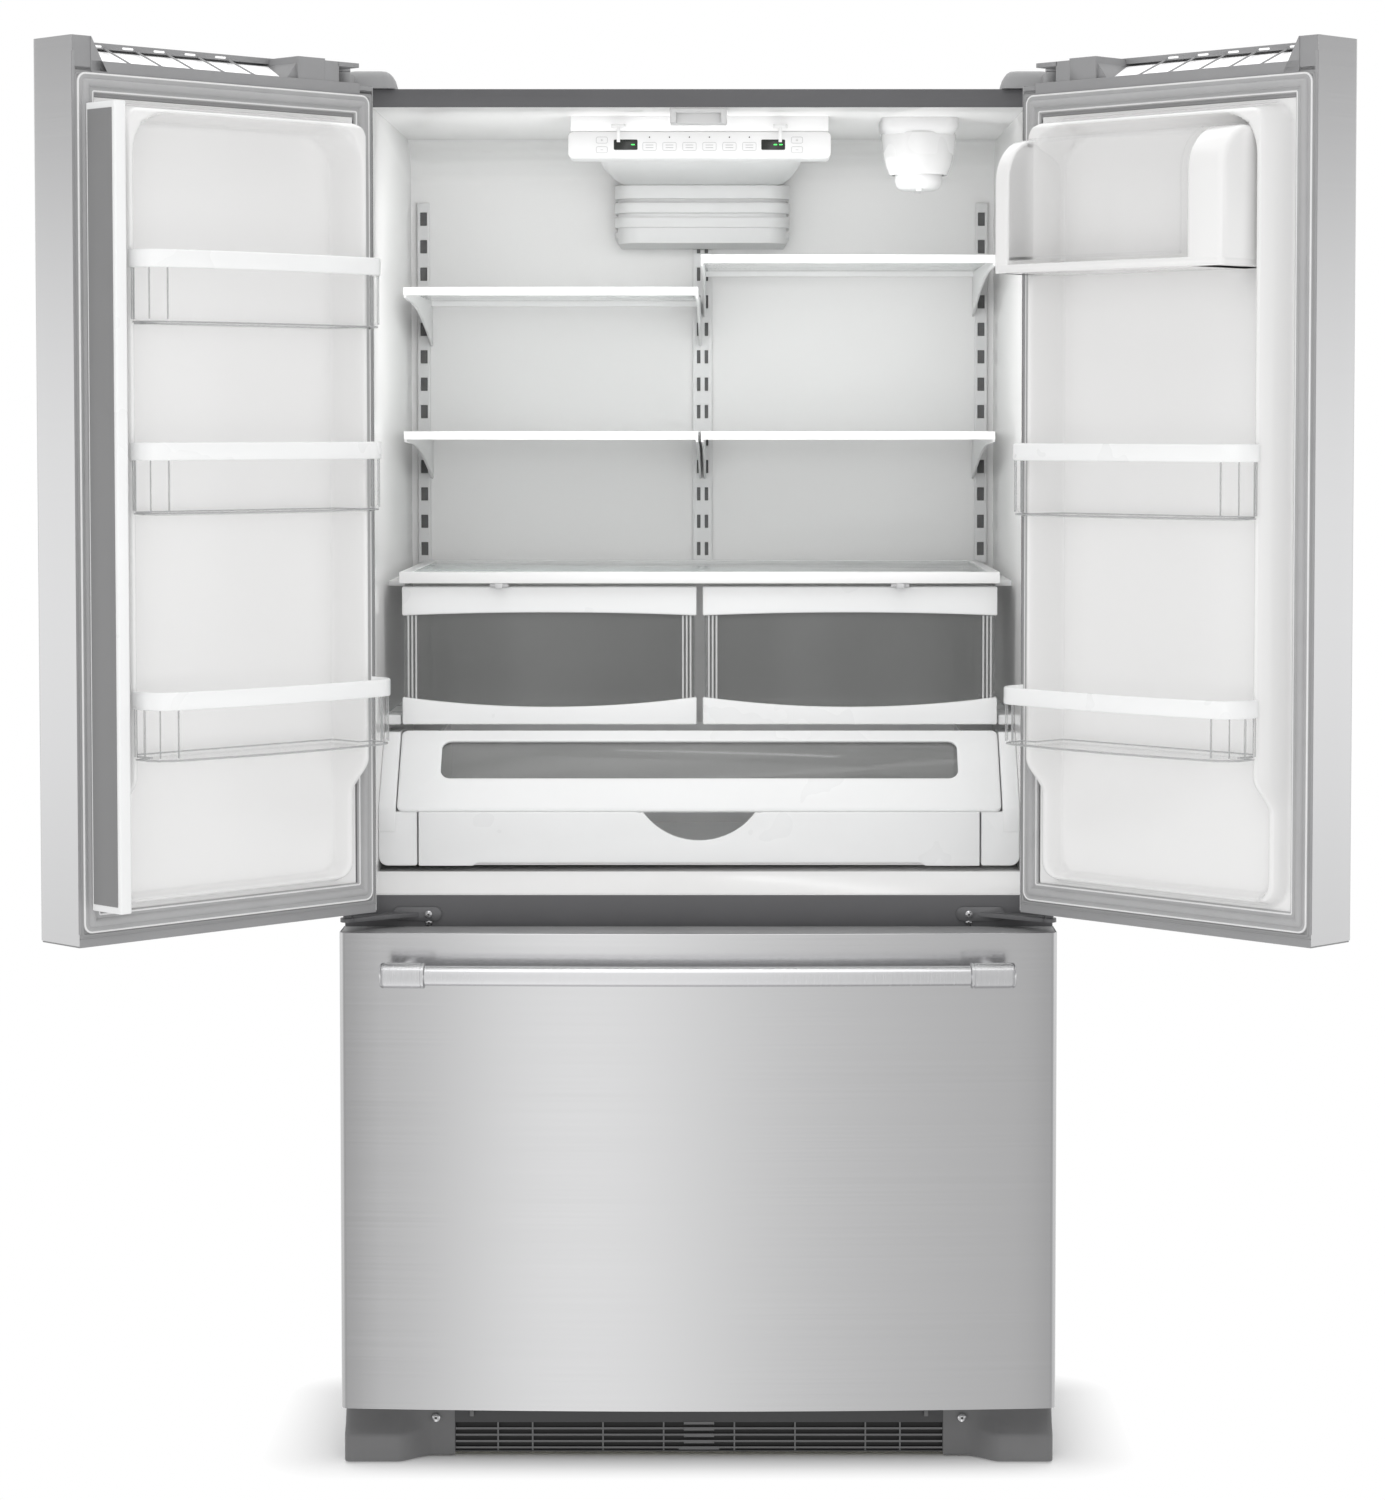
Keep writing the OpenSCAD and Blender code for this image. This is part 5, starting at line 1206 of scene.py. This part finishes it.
filter_low, filter_high = box_mm("water_filter")
FILTER_X, FILTER_Y = (filter_low.x + filter_high.x) / 2, (filter_low.y + filter_high.y) / 2
cartridge = turned([(0, 8), (1, 22), (4, 27.5), (9, 30.2), (14, 31), (60, 31), (66, 29), (70, 20), (72, 12), (81, 12)],
                   (FILTER_X, FILTER_Y, filter_low.z + 1), (0, 0, 1), 48)
grip = loft([at_height(rect(FILTER_X - 4, FILTER_X + 4, FILTER_Y - 27, FILTER_Y + 27, 3), z)
             for z in (filter_low.z, filter_low.z + 16)])
piece("water_filter_cartridge", [cartridge, grip], CABINET, FITTING_WHITE, "filter_cartridge",
      ["water_filter"], smooth=40)
plate = [at_height(rounded([(238 + a, 250, 0), (238 + a, 140 + a, 16), (338 - a, 140 + a, 16), (338 - a, 250, 0)]), z)
         for a, z in ((0, ceiling), (0, 1716), (2, 1711), (6, 1706))]
cup_outer = [(0, 49), (8, 49), (26, 47), (42, 43), (54, 38)]
cup_inner = [(54, 35.4), (42, 40.4), (26, 44.4), (8, 46.4), (1, 46.4)]
cup = turned([(a, r) for a, r in cup_outer + cup_inner], (FILTER_X, FILTER_Y, 1708), (0, 0, -1), 64)
piece("filter_bracket", [loft(plate)], CABINET, FITTING_WHITE, "cabinet", ["filter_housing"],
      bevel=1.5, steps=3, angle=50, smooth=45)
piece("filter_cup", [cup], CABINET, FROSTED_AND_PAINTED_HIGHLIGHT, "cabinet", smooth=40)

# ---------------------------------------------------------------- camera, floor and light

CAMERA_X, CAMERA_Z, CAMERA_AWAY = 0.0474, 1.3230, 4.6278
CAMERA_PITCH = math.radians(-2.726)
camera = bpy.data.objects.new("camera", bpy.data.cameras.new("camera"))
bpy.context.scene.collection.objects.link(camera)
camera.location = (CAMERA_X, FRONT_Y - CAMERA_AWAY, CAMERA_Z)
camera.rotation_euler = (math.radians(90) + CAMERA_PITCH, 0, 0)
camera.data.sensor_width = 36
camera.data.lens = 87.29
camera.data.shift_x, camera.data.shift_y = -0.0289, -0.10
camera.data.clip_start, camera.data.clip_end = 0.05, 60
bpy.context.scene.camera = camera

FLOOR_HALF = 14.0
floor_mesh = bpy.data.meshes.new("floor")
floor_mesh.from_pydata([(-FLOOR_HALF, -FLOOR_HALF, 0), (FLOOR_HALF, -FLOOR_HALF, 0), (FLOOR_HALF, FLOOR_HALF, 0),
                        (-FLOOR_HALF, FLOOR_HALF, 0)], [], [(0, 1, 2, 3)])
floor = bpy.data.objects.new("floor", floor_mesh)
bpy.context.scene.collection.objects.link(floor)
floor_white = finish("floor_white", (0.93, 0.93, 0.93), 0.7, 0.0, 0.004, (1, 1, 1))
floor_mesh.materials.append(floor_white)
floor.visible_glossy = False

# The floor turns into plain white paper away from the object, so that no horizon shows.
paper = floor_white.node_tree
spot = node_of(paper, "ShaderNodeTexCoord", (-1100, 600))
mirrored = node_of(paper, "ShaderNodeVectorMath", (-900, 600), operation="ABSOLUTE")
beyond = node_of(paper, "ShaderNodeVectorMath", (-700, 600), operation="SUBTRACT")
beyond.inputs[1].default_value = (HALF_W * MM, -FRONT_Y, 0.0)
outside = node_of(paper, "ShaderNodeVectorMath", (-500, 600), operation="MAXIMUM")
outside.inputs[1].default_value = (0.0, 0.0, 0.0)
away = node_of(paper, "ShaderNodeVectorMath", (-300, 600), operation="LENGTH")
paper.links.new(spot.outputs["Object"], mirrored.inputs[0])
paper.links.new(mirrored.outputs[0], beyond.inputs[0])
paper.links.new(beyond.outputs[0], outside.inputs[0])
paper.links.new(outside.outputs[0], away.inputs[0])
white = node_of(paper, "ShaderNodeEmission", (0, 500), Color=(1.0, 1.0, 1.0, 1.0), Strength=1.0)
fade = node_of(paper, "ShaderNodeMixShader", (300, 300))
paper.links.new(spread(paper, away.outputs["Value"], 0.0, 1.0, 0.0, 0.11), fade.inputs[0])
paper.links.new(paper.nodes["Principled BSDF"].outputs[0], fade.inputs[1])
paper.links.new(white.outputs[0], fade.inputs[2])
paper.links.new(fade.outputs[0], paper.nodes["Material Output"].inputs["Surface"])

scene = bpy.context.scene
scene.view_settings.view_transform = "Standard"
scene.view_settings.look = "None"

world = bpy.data.worlds.new("studio")
world.use_nodes = True
scene.world = world
sky = world.node_tree
backdrop = sky.nodes["Background"]
direction = node_of(sky, "ShaderNodeTexCoord", (-900, 0))
parts_of = node_of(sky, "ShaderNodeSeparateXYZ", (-700, 0))
sky.links.new(direction.outputs["Generated"], parts_of.inputs["Vector"])
PEAK = 1.6


def ramp_over(source, low, high, levels, place):
    """Brightness that follows a smooth curve of (value, level) pairs over a direction's component."""
    ranged = node_of(sky, "ShaderNodeMapRange", (place[0] - 200, place[1]))
    ranged.inputs["From Min"].default_value, ranged.inputs["From Max"].default_value = low, high
    sky.links.new(source, ranged.inputs["Value"])
    curve = node_of(sky, "ShaderNodeValToRGB", place)
    curve.color_ramp.interpolation = "CARDINAL"
    while len(curve.color_ramp.elements) < len(levels):
        curve.color_ramp.elements.new(0.5)
    for element, (at, level) in zip(curve.color_ramp.elements, levels):
        element.position = (at - low) / (high - low)
        element.color = (level / PEAK, level / PEAK, level / PEAK, 1.0)
    sky.links.new(ranged.outputs["Result"], curve.inputs["Fac"])
    return curve.outputs["Color"]


def blend(first, second, source, start, end, place):
    """Goes from one colour to another as a direction's component goes from start to end."""
    amount = node_of(sky, "ShaderNodeMapRange", (place[0] - 200, place[1] - 200), interpolation_type="SMOOTHSTEP")
    amount.inputs["From Min"].default_value, amount.inputs["From Max"].default_value = start, end
    sky.links.new(source, amount.inputs["Value"])
    mixed = node_of(sky, "ShaderNodeMix", place, data_type="RGBA")
    sky.links.new(amount.outputs["Result"], mixed.inputs[0])
    sky.links.new(first, mixed.inputs[6])
    if isinstance(second, tuple):
        mixed.inputs[7].default_value = second
    else:
        sky.links.new(second, mixed.inputs[7])
    return mixed.outputs[2]


# In front of the object: a broad soft band of light a little left of the middle.
BAND = ((-1.0, 0.70), (-0.38, 0.55), (-0.237, 0.66), (-0.19, 0.80), (-0.139, 1.30), (-0.076, 1.42),
        (-0.01, 1.12), (0.057, 0.90), (0.123, 0.80), (0.19, 0.72), (0.38, 0.55), (1.0, 0.70))
# To the sides: lighter at eye level, darker above.
SIDES = ((-0.40, 0.70), (-0.15, 1.02), (-0.05, 1.32), (0.04, 1.12), (0.11, 0.55), (0.40, 0.42))
WHITE = (1.0 / PEAK, 1.0 / PEAK, 1.0 / PEAK, 1.0)
in_front = ramp_over(parts_of.outputs["X"], -1.0, 1.0, BAND, (-300, 100))
beside = ramp_over(parts_of.outputs["Z"], -0.5, 0.5, SIDES, (-300, -300))
sideways = node_of(sky, "ShaderNodeMath", (-500, -100), operation="ABSOLUTE")
sky.links.new(parts_of.outputs["X"], sideways.inputs[0])
around = blend(in_front, beside, sideways.outputs[0], 0.70, 0.92, (0, 0))
# Beyond the object the room is plain white.
sky.links.new(blend(around, WHITE, parts_of.outputs["Y"], 0.30, 0.60, (200, 0)), backdrop.inputs["Color"])
backdrop.inputs["Strength"].default_value = PEAK


def lamp(name, place, aim, size, power, colour=(1.0, 1.0, 1.0)):
    """A soft rectangular light that points at a spot."""
    light = bpy.data.lights.new(name, "AREA")
    light.shape = "RECTANGLE"
    light.size, light.size_y = size
    light.energy = power
    light.color = colour
    obj = bpy.data.objects.new(name, light)
    scene.collection.objects.link(obj)
    obj.location = place
    obj.rotation_euler = (Vector(aim) - Vector(place)).to_track_quat("-Z", "Y").to_euler()
    return obj


lamp("overhead", (0.0, 0.6, 5.0), (0.0, 0.0, 0.0), (7.0, 7.0), 120)
front = lamp("front_soft", (0.0, FRONT_Y - 1.7, 1.45), (0.0, FRONT_Y, 1.15), (1.3, 1.3), 6)
inside = lamp("inside_soft", (0.0, FRONT_Y + 0.02, 1.45), (0.0, FRONT_Y + 0.5, 1.40), (0.74, 0.46), 1.5)
for soft in (front, inside):
    soft.visible_camera = soft.visible_glossy = False
lamp("inside_top", (0.0, FRONT_Y + 0.13, 1.66), (0.0, FRONT_Y + 0.45, 1.0), (0.5, 0.06), 0.35)
